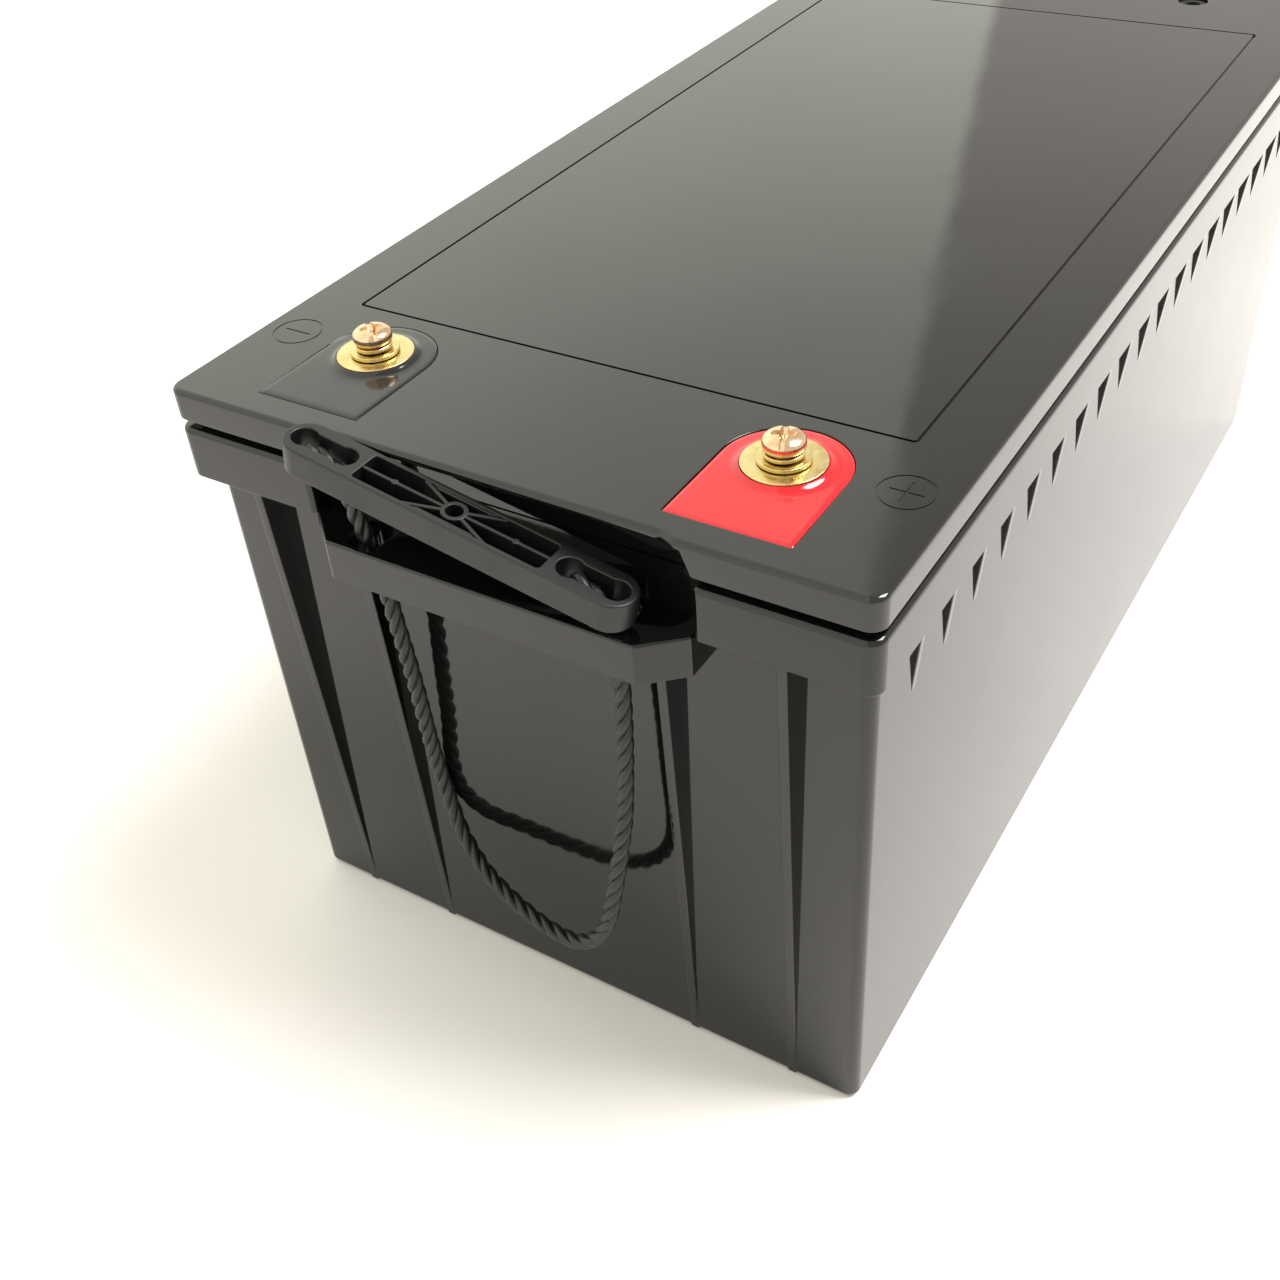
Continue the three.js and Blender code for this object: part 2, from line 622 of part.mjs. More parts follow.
function makeCellLead() {
  const far = cellX(CELL.count - 1);
  const cable = tube([
    [far, -80, LINK_Z + 4], [far - 16, -91, 205.2], [far - 60, -97, 206.2],
    [0, -98, 206.2], [-80, -97, 206.2], [-122, -90, 203], [-140, -74, 190],
    [-151, -63, 168], [-158, -58.5, 152], [-161.4, -57.5, 146],
  ], LEAD_RADIUS, 26, 8);
  const top = LINK_Z + EYE.thick;
  const eye = cylinder(far, -CELL.postY, EYE.radius, LINK_Z, top, 16)
    .add(box(far - 5, far + 5, -84, -CELL.postY - 7, LINK_Z, top))
    .subtract(cylinder(far, -CELL.postY, POST_BORE, 190, 220, 12));
  return union([cable, eye, box(-165.8, -160, -61, -54, 138, 149)]);
}

function makeHarness() {
  const reach = cellX(CELL.count - 1) - 20;
  return tube([
    [reach, 0, 203.8], [reach - 60, 3, 203.8], [0, -3, 203.8], [-70, 2, 203.8],
    [-122, 2, 202], [-143, 0, 190], [-154, 0, 168], [-157, 0, 155.6],
  ], HARNESS_RADIUS, 22, 8);
}

// ---------- assembly ----------
const battery = new THREE.Group();

function addTo(parent, name, solid, material, place = [0, 0, 0]) {
  const mesh = new THREE.Mesh(toGeometry(solid), material);
  mesh.name = name;
  mesh.position.set(...place);
  parent.add(mesh);
  return mesh;
}

const add = (...details) => addTo(battery, ...details);

add("case", makeCase(), MATERIALS.abs);
add("lid", makeLid(), MATERIALS.abs);

const SIDES = [
  { name: "positive", side: -1, resin: MATERIALS.redResin },
  { name: "negative", side: 1, resin: MATERIALS.blackResin },
];
for (const { name, side, resin } of SIDES) {
  const at = (z) => [TERMINAL.x, side * TERMINAL.y, z];
  add(`${name}_well_fill`, makeWellFill(side), resin);
  add(`${name}_terminal_bush`, makeBush(), MATERIALS.brass, at(0));
  add(
    `${name}_flat_washer`,
    ring(0, 0, FLAT_WASHER.outer, WASHER_BORE, 0, FLAT_WASHER.thick, 32),
    MATERIALS.yellowZinc,
    at(STACK.flat),
  );
  add(
    `${name}_small_washer`,
    ring(0, 0, SMALL_WASHER.outer, WASHER_BORE, 0, SMALL_WASHER.thick),
    MATERIALS.yellowZinc,
    at(STACK.small),
  );
  add(`${name}_spring_washer`, makeSpringWasher(), MATERIALS.yellowZinc, at(STACK.spring));
  add(`${name}_bolt`, makeBolt(), MATERIALS.yellowZinc, at(STACK.head));
  const lugScrew = union([
    cylinder(0, 0, 2.5, LUG_Z - 3, BUSH.bottom + 3, 12),
    cylinder(0, 0, 4.8, LUG_Z - GAP - 3.2, LUG_Z - GAP, 6),
  ]);
  add(`${name}_lug_screw`, lugScrew, MATERIALS.steel, at(0));
}

function addHandle(name, pose, points) {
  const holder = new THREE.Group();
  holder.position.set(pose.x, pose.y, pose.z);
  holder.rotation.set((pose.tilt * Math.PI) / 180, 0, 0);
  const grip = addTo(holder, `${name}_grip`, makeGrip(), MATERIALS.grip);
  grip.rotation.z = Math.PI / 2;
  battery.add(holder);
  add(`${name}_rope`, makeRope(points), MATERIALS.rope);
}

addHandle("front", FRONT_GRIP, frontRope());
addHandle("rear", REAR_GRIP, rearRope());

add(
  "vent_plug",
  cut(cylinder(VENT.x, VENT.y, VENT.radius - GAP, LID_TOP - VENT.depth + GAP, LID_TOP - 1.6), [
    cylinder(VENT.x, VENT.y, 3.6, LID_TOP - 3, LID_TOP, 16),
  ]),
  MATERIALS.rubber,
);

add(
  "base_pad",
  slab(WALL_X - WALL - 3, WALL_Y - WALL - 3, 3, FLOOR + GAP, FLOOR + GAP + PAD),
  MATERIALS.foam,
);

for (let i = 0; i < CELL.count; i++) {
  add(`cell_${i + 1}`, makeCell(), MATERIALS.cellWrap, [cellX(i), 0, 0]);
  [-1, 1].forEach((side, k) => {
    add(`post_nut_${i * 2 + k + 1}`, makeNut(), MATERIALS.steel, [cellX(i), side * CELL.postY, 0]);
  });
}
for (let i = 0; i < CELL.count - 1; i++) {
  const x = (cellX(i) + cellX(i + 1)) / 2;
  const half = SEPARATOR / 2;
  const reach = CELL.wide / 2 - 2;
  add(
    `cell_separator_${i + 1}`,
    box(-half, half, -reach, reach, CELL_FLOOR, CELL_TOP - 2),
    MATERIALS.glassBoard,
    [x, 0, 0],
  );
  const side = i % 2 === 0 ? 1 : -1;
  add(`busbar_${i + 1}`, makeBusbar(), MATERIALS.copper, [x, side * CELL.postY, 0]);
}
for (const [name, side] of [["front", -1], ["rear", 1]]) {
  const near = PACK_HALF + GAP;
  const far = near + 4;
  const reach = CELL.wide / 2 - 1;
  const [xMin, xMax] = side < 0 ? [-far, -near] : [near, far];
  add(
    `${name}_end_plate`,
    box(xMin, xMax, -reach, reach, CELL_FLOOR, CELL_TOP - 4),
    MATERIALS.aluminium,
  );
}
add("lower_band", makeBand(48), MATERIALS.steel);
add("upper_band", makeBand(140), MATERIALS.steel);

add("management_board", makeBoard(), MATERIALS.board);
add("heat_sink", makeHeatSink(), MATERIALS.aluminium, [-GAP, 0, 0]);
add("positive_lead", makePositiveLead(), MATERIALS.redWire);
add("negative_lead", makeNegativeLead(), MATERIALS.blackWire);
add("cell_lead", makeCellLead(), MATERIALS.blackWire);
add("sense_harness", makeHarness(), MATERIALS.greyWire);

const foamReach = WALL_Y - WALL - 4;
const foamEnd = WALL_X - WALL - 2;
add(
  "front_foam",
  box(-foamEnd, -184, -foamReach, foamReach, CELL_FLOOR, 176),
  MATERIALS.foam,
);
add(
  "rear_foam",
  box(PACK_HALF + 7, foamEnd, -foamReach, foamReach, CELL_FLOOR, 190),
  MATERIALS.foam,
);

export default battery;
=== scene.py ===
"""Looks for the sealed battery: glossy ABS case and lid, resin-filled wells, plated screws, rope handles."""

import json
import math

import bmesh
import bpy
import numpy as np
from mathutils import Matrix, Vector


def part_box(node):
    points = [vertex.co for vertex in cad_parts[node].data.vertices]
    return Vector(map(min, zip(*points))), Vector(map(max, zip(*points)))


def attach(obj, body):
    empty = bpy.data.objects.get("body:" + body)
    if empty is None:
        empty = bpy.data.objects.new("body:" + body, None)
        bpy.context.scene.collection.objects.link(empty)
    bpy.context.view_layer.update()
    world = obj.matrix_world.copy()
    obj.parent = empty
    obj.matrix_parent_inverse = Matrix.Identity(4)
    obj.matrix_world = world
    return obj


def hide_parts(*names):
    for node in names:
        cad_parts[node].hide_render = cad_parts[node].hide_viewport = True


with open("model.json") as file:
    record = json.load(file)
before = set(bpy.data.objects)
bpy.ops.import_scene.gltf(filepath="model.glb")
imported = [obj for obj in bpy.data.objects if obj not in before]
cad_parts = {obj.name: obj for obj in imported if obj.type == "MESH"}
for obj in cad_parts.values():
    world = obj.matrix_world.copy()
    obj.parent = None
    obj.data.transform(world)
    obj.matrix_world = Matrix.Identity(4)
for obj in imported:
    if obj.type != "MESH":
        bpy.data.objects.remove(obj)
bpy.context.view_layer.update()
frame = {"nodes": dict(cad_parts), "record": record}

MM = 0.001
scene = bpy.context.scene

# ---------------------------------------------------------------- camera
CAMERA_AT = (-0.5109045, -0.2276692, 0.4413267)
VIEW_RIGHT = (0.52012658, -0.85172397, -0.06351868)
VIEW_DOWN = (-0.56793182, -0.28935785, -0.77053585)
VIEW_AHEAD = (0.63790422, 0.43685046, -0.63422385)


def make_camera():
    data = bpy.data.cameras.new("camera")
    data.sensor_width = 36
    data.lens = 41.8147
    data.clip_start, data.clip_end = 0.01, 50
    camera = bpy.data.objects.new("camera", data)
    turn = Matrix((VIEW_RIGHT, [-v for v in VIEW_DOWN], [-v for v in VIEW_AHEAD])).transposed()
    camera.matrix_world = Matrix.Translation(CAMERA_AT) @ turn.to_4x4()
    scene.collection.objects.link(camera)
    scene.camera = camera


make_camera()

# ---------------------------------------------------------------- dimensions in mm, those of the CAD
RIM_X, RIM_Y = 250.5, 120.0
LID_TOP, RIM_TOP, RIM_BOTTOM, SKIRT_BOTTOM = 220.0, 206.5, 188.5, 209.5
WALL_X, WALL_Y, WALL, FLOOR = 242.8, 115.8, 3.2, 4.0
CORNER = 4.2
NOTCH_HALF, LID_NOTCH_HALF, LID_EDGE_BACK, LID_SHEET = 66.0, 60.5, 1.9, 3.0
LEDGE_FRONT, LEDGE_TOP, LEDGE_BOTTOM, LEDGE_FRONT_HALF = 261.0, 189.5, 175.5, 54.0
SLOT_X, SLOT_Y, SLOT_LONG, SLOT_WIDE = 252.0, 42.6, 14.4, 10.4
RIB_YS, RIB_THICK, RIB_DEPTH, RIB_FOOT = (-92.2, -54.0, 54.0, 92.2), 3.2, 6.7, 2.0
GUSSETS, GUSSET_PITCH, GUSSET_THICK, GUSSET_DEPTH, GUSSET_FOOT = 20, 22.7, 3.0, 2.45, 163.7
LID_EDGE_ROUND, SHEET_UNDER = 1.7, 217.3
PANEL_X, PANEL_Y = 181.0, 98.7
TERMINAL_X, TERMINAL_Y = -206.8, 71.3
WELL_R, WELL_END, WELL_FLOOR = 19.3, 33.2, 213.0
BUSH_R, WASHER_R = 8.0, 12.4
VENT_X, VENT_Y, VENT_R, VENT_DEPTH = 218.4, -62.0, 6.5, 5.0
MARK_X, MARK_Y, MARK_R = -204.5, 106.0, 8.25
GRIP_LONG, GRIP_WIDE, GRIP_TALL = 118.0, 14.8, 10.0
HOLE_R, HOLE_IN, HOLE_OUT, NECK = 4.0, 38.25, 52.75, 6.4
FRONT_GRIP = (-256.7, 4.4, 213.2, 10.6)
REAR_GRIP = (256.7, 0.0, LEDGE_TOP + 0.3 + GRIP_TALL, 0.0)
ROPE_R = 2.75
CROSSING_DEPTH, CROSSING_R = 5.0, 11.6  # the rope's arc over a slot's neck


# ---------------------------------------------------------------- ropes
def in_grip(grip, along, down, lean=0.0):
    x, y, z, tilt = grip
    c, s = math.cos(math.radians(tilt)), math.sin(math.radians(tilt))
    return (x + lean, y + along * c + down * s, z + along * s - down * c)


def rope_in_grip(grip, side, knot, rise, sweep, lean):
    """From the knot in one hole, round an arc over the neck and down out of the grip at rise."""
    way = math.copysign(1.0, knot - rise)
    top = rise + way * CROSSING_R
    drop = CROSSING_R - math.sqrt(CROSSING_R**2 - (knot - top) ** 2)
    points = [in_grip(grip, side * knot, CROSSING_DEPTH + drop)]
    for part in (0, 0.25, 0.5, 0.75, 1):
        angle = math.radians(part * sweep)
        along = top - way * CROSSING_R * math.sin(angle)
        down = CROSSING_DEPTH + CROSSING_R * (1 - math.cos(angle))
        points.append(in_grip(grip, side * along, down, lean * part**2))
    return points


def front_route():
    hanging = [
        (-255.6, 43.8, 199), (-254.2, 43.2, 191), (-253.1, 42.4, 182), (-252.4, 41.4, 170),
        (-251.9, 40.8, 158), (-250.8, 40.5, 144), (-249.5, 40.5, 128), (-248.2, 40.6, 106),
        (-246.4, 41, 88), (-246.2, 39, 74), (-249.6, 32.4, 62.6), (-255, 19.5, 55.2),
        (-258.8, 3.5, 50.4), (-261.2, -11.5, 48.8), (-262.8, -23, 51.6), (-263.4, -31.4, 59),
        (-262.9, -36.6, 70), (-261.2, -39.2, 84), (-258.4, -40.8, 99), (-255.9, -42, 114),
        (-254.2, -42.7, 132), (-252.8, -43, 152), (-252.6, -43.2, 166), (-253.9, -43.6, 178),
    ]
    left = rope_in_grip(FRONT_GRIP, 1, HOLE_OUT, HOLE_IN - 0.85, 80, 0.3)
    right = rope_in_grip(FRONT_GRIP, -1, HOLE_IN, HOLE_OUT - 0.15, 90, 0.9)
    return left + hanging + right[::-1]


def rear_route():
    x = REAR_GRIP[0]
    hanging = [
        (x - 2, 41.2, 177), (x - 3.3, 41.4, 168), (x - 4.3, 41.5, 158), (x - 5.2, 41.5, 146),
        (x - 5.6, 41.4, 130), (x - 4.6, 41.3, 108), (x - 2.2, 40.4, 84), (x + 0.6, 36.6, 61),
        (x + 2.2, 29, 44), (x + 3.2, 17.6, 33.6), (x + 3.8, 6, 29.4),
    ]
    half = rope_in_grip(REAR_GRIP, 1, HOLE_OUT, 41, 90, -1.1) + hanging
    return half + [(px, -py, pz) for px, py, pz in half][::-1]


def smooth_line(points, spacing):
    """Points evenly spaced along a centripetal Catmull-Rom curve, and its length."""
    p = np.array(points, float)
    p = np.vstack([2 * p[0] - p[1], p, 2 * p[-1] - p[-2]])
    dense = []
    for a, b, c, d in zip(p, p[1:], p[2:], p[3:]):
        t0 = 0.0
        t1 = t0 + math.sqrt(np.linalg.norm(b - a))
        t2 = t1 + math.sqrt(np.linalg.norm(c - b))
        t3 = t2 + math.sqrt(np.linalg.norm(d - c))
        for t in np.linspace(t1, t2, 24, endpoint=False):
            a1 = (t1 - t) / (t1 - t0) * a + (t - t0) / (t1 - t0) * b
            a2 = (t2 - t) / (t2 - t1) * b + (t - t1) / (t2 - t1) * c
            a3 = (t3 - t) / (t3 - t2) * c + (t - t2) / (t3 - t2) * d
            b1 = (t2 - t) / (t2 - t0) * a1 + (t - t0) / (t2 - t0) * a2
            b2 = (t3 - t) / (t3 - t1) * a2 + (t - t1) / (t3 - t1) * a3
            dense.append((t2 - t) / (t2 - t1) * b1 + (t - t1) / (t2 - t1) * b2)
    dense.append(p[-2])
    dense = np.array(dense)
    run = np.concatenate([[0], np.cumsum(np.linalg.norm(np.diff(dense, axis=0), axis=1))])
    steps = int(run[-1] / spacing)
    at = np.linspace(0, run[-1], steps + 1)
    line = np.stack([np.interp(at, run, dense[:, k]) for k in range(3)], axis=1)
    return line, run[-1]


def carried_frames(line):
    """A tangent and two side directions at each point, carried along without twist."""
    tangent = np.gradient(line, axis=0)
    tangent /= np.linalg.norm(tangent, axis=1)[:, None]
    side = np.cross(tangent[0], (0.0, 0.0, 1.0))
    if np.linalg.norm(side) < 0.1:
        side = np.cross(tangent[0], (0.0, 1.0, 0.0))
    sides = []
    for t in tangent:
        side = side - t * np.dot(side, t)
        side /= np.linalg.norm(side)
        sides.append(side)
    sides = np.array(sides)
    return tangent, sides, np.cross(tangent, sides)


LAY = 19.0  # length of one full turn of a strand
STRAND_SIDES = 24
YARNS = 8


def make_rope(name, route):
    """Three laid strands, each with its own twisted yarns, closing in a fused end at both knots."""
    line, length = smooth_line(route, 0.7)
    _, u, v = carried_frames(line)
    n = len(line)
    run = np.linspace(0, length, n)
    to_end = np.minimum(run, length - run)
    swell = 1 + 0.26 * np.exp(-(((to_end - 2.6) / 2.4) ** 2))
    swell *= np.clip(0.45 + to_end / 1.6, 0, 1) ** 0.5
    strand_r = 0.53 * ROPE_R * swell
    helix_r = 0.47 * ROPE_R * swell
    bm = bmesh.new()
    for k in range(3):
        phase = 2 * math.pi * (run / LAY + k / 3)
        radial = u * np.cos(phase)[:, None] + v * np.sin(phase)[:, None]
        across = -u * np.sin(phase)[:, None] + v * np.cos(phase)[:, None]
        centre = line + radial * helix_r[:, None]
        ahead = np.gradient(centre, axis=0)
        ahead /= np.linalg.norm(ahead, axis=1)[:, None]
        second = np.cross(ahead, radial)
        second /= np.linalg.norm(second, axis=1)[:, None]
        rows = []
        for i in range(n):
            ring = []
            for s in range(STRAND_SIDES):
                angle = 2 * math.pi * s / STRAND_SIDES
                yarn = math.cos(YARNS * angle + 2 * math.pi * run[i] / 5.5)
                reach = strand_r[i] * (1 + 0.055 * yarn)
                place = centre[i] + reach * (math.cos(angle) * radial[i] + math.sin(angle) * second[i])
                ring.append(bm.verts.new(place * MM))
            rows.append(ring)
        for a, b in zip(rows, rows[1:]):
            for s in range(STRAND_SIDES):
                t = (s + 1) % STRAND_SIDES
                bm.faces.new((a[s], b[s], b[t], a[t]))
        bm.faces.new(rows[0])
        bm.faces.new(rows[-1][::-1])
    bmesh.ops.recalc_face_normals(bm, faces=bm.faces)
    rope = finish_mesh(name, bm, math.radians(60))
    return rope, line, length


# ---------------------------------------------------------------- mesh helpers
def finish_mesh(name, bm, sharp=math.radians(35)):
    mesh = bpy.data.meshes.new(name)
    bm.to_mesh(mesh)
    bm.free()
    return place_mesh(name, mesh, sharp)


def place_mesh(name, mesh, sharp=math.radians(35)):
    mesh.shade_smooth()
    mesh.set_sharp_from_angle(angle=sharp)
    obj = bpy.data.objects.new(name, mesh)
    scene.collection.objects.link(obj)
    return obj


def loft(rings, wrap=False):
    """A closed solid through rings of mm points; with wrap the last ring joins the first."""
    bm = bmesh.new()
    rows = [[bm.verts.new([c * MM for c in p]) for p in ring] for ring in rings]
    pairs = list(zip(rows, rows[1:])) + ([(rows[-1], rows[0])] if wrap else [])
    n = len(rows[0])
    for a, b in pairs:
        for i in range(n):
            j = (i + 1) % n
            bm.faces.new((a[i], a[j], b[j], b[i]))
    if not wrap:
        bm.faces.new(rows[0][::-1])
        bm.faces.new(rows[-1])
    bmesh.ops.remove_doubles(bm, verts=bm.verts, dist=1e-7)
    bmesh.ops.dissolve_degenerate(bm, edges=bm.edges, dist=1e-7)
    return bm


def outline(corners, segments=8):
    """Rounded polygon, anticlockwise. corners are (x, y, radius). Gives (point, outward) pairs."""
    result = []
    n = len(corners)
    for i, (x, y, radius) in enumerate(corners):
        before, after = corners[i - 1], corners[(i + 1) % n]
        din = Vector((x - before[0], y - before[1])).normalized()
        dout = Vector((after[0] - x, after[1] - y)).normalized()
        nin, nout = Vector((din.y, -din.x)), Vector((dout.y, -dout.x))
        miter = (nin + nout) / (1 + nin.dot(nout))
        if radius <= 0:
            result.append(((x, y), (miter.x, miter.y)))
            continue
        left_turn = din.x * dout.y - din.y * dout.x > 0
        sign = 1 if left_turn else -1
        centre = Vector((x, y)) - sign * miter * radius
        total = nin.angle_signed(nout)
        for s in range(segments + 1):
            normal = nin.copy()
            normal.rotate(Matrix.Rotation(-total * s / segments, 2))
            point = centre + sign * radius * normal
            result.append(((point.x, point.y), (normal.x, normal.y)))
    return result


def ring_at(shape, z, inset=0.0, dx=0.0, dy=0.0):
    return [(p[0] - m[0] * inset + dx, p[1] - m[1] * inset + dy, z) for p, m in shape]


def rectangle(half_x, half_y, radius):
    return [
        (-half_x, -half_y, radius), (half_x, -half_y, radius),
        (half_x, half_y, radius), (-half_x, half_y, radius),
    ]


def rounded_profile(z0, z1, bottom, top, steps=5):
    """(z, inset) pairs for a prism with rounded bottom and top edges. A negative radius flares out."""
    pairs = []
    if bottom:
        r = abs(bottom)
        for s in range(steps + 1):
            a = math.pi / 2 * s / steps
            pairs.append((z0 + r * (1 - math.cos(a)), math.copysign(r * (1 - math.sin(a)), bottom)))
    else:
        pairs.append((z0, 0.0))
    if top:
        r = abs(top)
        for s in range(steps + 1):
            a = math.pi / 2 * s / steps
            pairs.append((z1 - r * (1 - math.sin(a)), math.copysign(r * (1 - math.cos(a)), top)))
    else:
        pairs.append((z1, 0.0))
    return pairs


def prism(shape, z0, z1, bottom=0.0, top=0.0, dx=0.0, dy=0.0, steps=5):
    rings = [ring_at(shape, z, inset, dx, dy) for z, inset in rounded_profile(z0, z1, bottom, top, steps)]
    return loft(rings)


def flared_cutter(shape, z0, z1, lip, dx=0.0, dy=0.0):
    """A prism that widens in a quarter round at its top, to leave a rounded lip when it is cut out."""
    pairs = [(z0, 0.0)]
    for s in range(6):
        a = math.pi / 2 * s / 5
        pairs.append((z1 - lip * (1 - math.sin(a)), -lip * (1 - math.cos(a))))
    pairs.append((z1 + 1, -lip))
    return loft([ring_at(shape, z, inset, dx, dy) for z, inset in pairs])


def revolve(profile, segments=64, closed=False, dx=0.0, dy=0.0, dz=0.0):
    """Turns (radius, z) points about Z. Open profiles start and end on the axis; closed ones are rings."""
    bm = bmesh.new()
    rows = []
    for r, z in profile:
        if r < 1e-6:
            rows.append([bm.verts.new((dx * MM, dy * MM, (z + dz) * MM))])
            continue
        row = []
        for s in range(segments):
            a = 2 * math.pi * s / segments
            x, y = dx + r * math.cos(a), dy + r * math.sin(a)
            row.append(bm.verts.new((x * MM, y * MM, (z + dz) * MM)))
        rows.append(row)
    pairs = list(zip(rows, rows[1:])) + ([(rows[-1], rows[0])] if closed else [])
    for a, b in pairs:
        for s in range(segments):
            t = (s + 1) % segments
            if len(a) == 1:
                bm.faces.new((a[0], b[t], b[s]))
            elif len(b) == 1:
                bm.faces.new((a[s], a[t], b[0]))
            else:
                bm.faces.new((a[s], a[t], b[t], b[s]))
    bmesh.ops.recalc_face_normals(bm, faces=bm.faces)
    return bm


def moved(bm, matrix):
    bmesh.ops.transform(bm, matrix=matrix, verts=bm.verts)
    return bm


def joined(parts):
    """Several bmeshes as one."""
    whole = bmesh.new()
    for part in parts:
        mesh = bpy.data.meshes.new("part")
        part.to_mesh(mesh)
        part.free()
        whole.from_mesh(mesh)
        bpy.data.meshes.remove(mesh)
    return whole


HALF_TURN = Matrix.Rotation(math.pi, 4, "Z")


def both_ends(bm):
    other = moved(bm.copy(), HALF_TURN)
    return [bm, other]


def combined(base, steps):
    """base with a list of ("UNION" or "DIFFERENCE", bmesh) applied in turn. Returns a mesh."""
    mesh = bpy.data.meshes.new("base")
    base.to_mesh(mesh)
    base.free()
    obj = bpy.data.objects.new("base", mesh)
    scene.collection.objects.link(obj)
    tools = []
    for operation, tool in steps:
        tool_mesh = bpy.data.meshes.new("tool")
        tool.to_mesh(tool_mesh)
        tool.free()
        tool_obj = bpy.data.objects.new("tool", tool_mesh)
        scene.collection.objects.link(tool_obj)
        tools.append(tool_obj)
        modifier = obj.modifiers.new("cut", "BOOLEAN")
        modifier.operation = operation
        modifier.solver = "EXACT"
        modifier.object = tool_obj
    graph = bpy.context.evaluated_depsgraph_get()
    result = bpy.data.meshes.new_from_object(obj.evaluated_get(graph))
    for o in [obj, *tools]:
        old = o.data
        bpy.data.objects.remove(o)
        bpy.data.meshes.remove(old)
    bm = bmesh.new()
    bm.from_mesh(result)
    bmesh.ops.remove_doubles(bm, verts=bm.verts, dist=2e-6)
    bmesh.ops.dissolve_degenerate(bm, edges=bm.edges, dist=2e-6)
    bm.to_mesh(result)
    bm.free()
    return result


def flat_faces_first(obj):
    """Keeps large flat faces flat under smooth shading."""
    modifier = obj.modifiers.new("weighted", "WEIGHTED_NORMAL")
    modifier.mode = "FACE_AREA"
    modifier.weight = 100
    modifier.keep_sharp = True


# ---------------------------------------------------------------- materials
class Nodes:
    """A material's node tree, built with short calls."""

    def __init__(self, name):
        self.material = bpy.data.materials.new(name)
        self.material.use_nodes = True
        self.tree = self.material.node_tree
        self.shader = self.tree.nodes["Principled BSDF"]

    def add(self, kind, **settings):
        node = self.tree.nodes.new(kind)
        for key, value in settings.items():
            setattr(node, key, value)
        return node

    def link(self, a, b):
        self.tree.links.new(a, b)

    def set(self, **values):
        for key, value in values.items():
            self.shader.inputs[key.replace("_", " ")].default_value = value

    def place(self):
        return self.add("ShaderNodeTexCoord").outputs["Object"]

    def noise(self, scale, detail=4.0, roughness=0.5, distortion=0.0, stretch=None):
        node = self.add("ShaderNodeTexNoise")
        node.inputs["Scale"].default_value = scale
        node.inputs["Detail"].default_value = detail
        node.inputs["Roughness"].default_value = roughness
        node.inputs["Distortion"].default_value = distortion
        source = self.place()
        if stretch:
            mapping = self.add("ShaderNodeMapping")
            mapping.inputs["Scale"].default_value = stretch
            self.link(source, mapping.inputs["Vector"])
            source = mapping.outputs["Vector"]
        self.link(source, node.inputs["Vector"])
        return node.outputs["Fac"]

    def spread(self, value, low, high, to_low, to_high):
        node = self.add("ShaderNodeMapRange")
        node.inputs["From Min"].default_value = low
        node.inputs["From Max"].default_value = high
        node.inputs["To Min"].default_value = to_low
        node.inputs["To Max"].default_value = to_high
        self.link(value, node.inputs["Value"])
        return node.outputs["Result"]

    def ramp(self, value, stops):
        node = self.add("ShaderNodeValToRGB")
        elements = node.color_ramp.elements
        while len(elements) < len(stops):
            elements.new(0.5)
        for element, (at, colour) in zip(elements, stops):
            element.position = at
            element.color = (*colour, 1)
        self.link(value, node.inputs["Fac"])
        return node.outputs["Color"]

    def math(self, operation, a, b):
        node = self.add("ShaderNodeMath", operation=operation)
        for socket, value in zip(node.inputs, (a, b)):
            if isinstance(value, (int, float)):
                socket.default_value = value
            else:
                self.link(value, socket)
        return node.outputs["Value"]

    def bump(self, height, distance, strength=1.0, after=None):
        node = self.add("ShaderNodeBump")
        node.inputs["Strength"].default_value = strength
        node.inputs["Distance"].default_value = distance
        self.link(height, node.inputs["Height"])
        if after is not None:
            self.link(after, node.inputs["Normal"])
        return node.outputs["Normal"]


def gloss_black(name, low, high, ior, tint=(0.0042, 0.0043, 0.0044)):
    """Moulded glossy ABS with faint handling smears, dust and flow waviness."""
    m = Nodes(name)
    smear = m.noise(9, 5, 0.6, 0.6, (1.0, 1.6, 1.0))
    fine = m.noise(160, 3, 0.6)
    rough = m.spread(smear, 0.42, 0.78, low, high)
    rough = m.math("ADD", rough, m.spread(fine, 0.4, 0.8, 0.0, 0.015))
    m.link(rough, m.shader.inputs["Roughness"])
    darker = tuple(c * 0.8 for c in tint)
    lighter = tuple(c * 1.35 for c in tint)
    m.link(m.ramp(m.noise(24, 6, 0.65), [(0.3, darker), (0.75, lighter)]), m.shader.inputs["Base Color"])
    wave = m.bump(m.noise(14, 2, 0.4), 0.00018)
    m.link(m.bump(m.noise(900, 2, 0.5), 0.0000035, after=wave), m.shader.inputs["Normal"])
    m.set(IOR=ior)
    return m.material


def satin_plastic(name, colour, low, high):
    m = Nodes(name)
    grain = m.noise(1400, 2, 0.5)
    m.link(m.spread(m.noise(60, 4, 0.6), 0.3, 0.7, low, high), m.shader.inputs["Roughness"])
    lighter = tuple(c * 1.4 + 0.002 for c in colour)
    m.link(m.ramp(m.noise(45, 5, 0.6), [(0.3, colour), (0.8, lighter)]), m.shader.inputs["Base Color"])
    m.link(m.bump(grain, 0.00003), m.shader.inputs["Normal"])
    m.set(IOR=1.5)
    return m.material


def resin(name, deep, light, low=0.05, high=0.12):
    m = Nodes(name)
    m.link(m.spread(m.noise(40, 4, 0.6), 0.35, 0.7, low, high), m.shader.inputs["Roughness"])
    m.link(m.ramp(m.noise(70, 4, 0.6), [(0.3, deep), (0.75, light)]), m.shader.inputs["Base Color"])
    m.link(m.bump(m.noise(55, 2, 0.4), 0.00012), m.shader.inputs["Normal"])
    m.set(IOR=1.52)
    return m.material


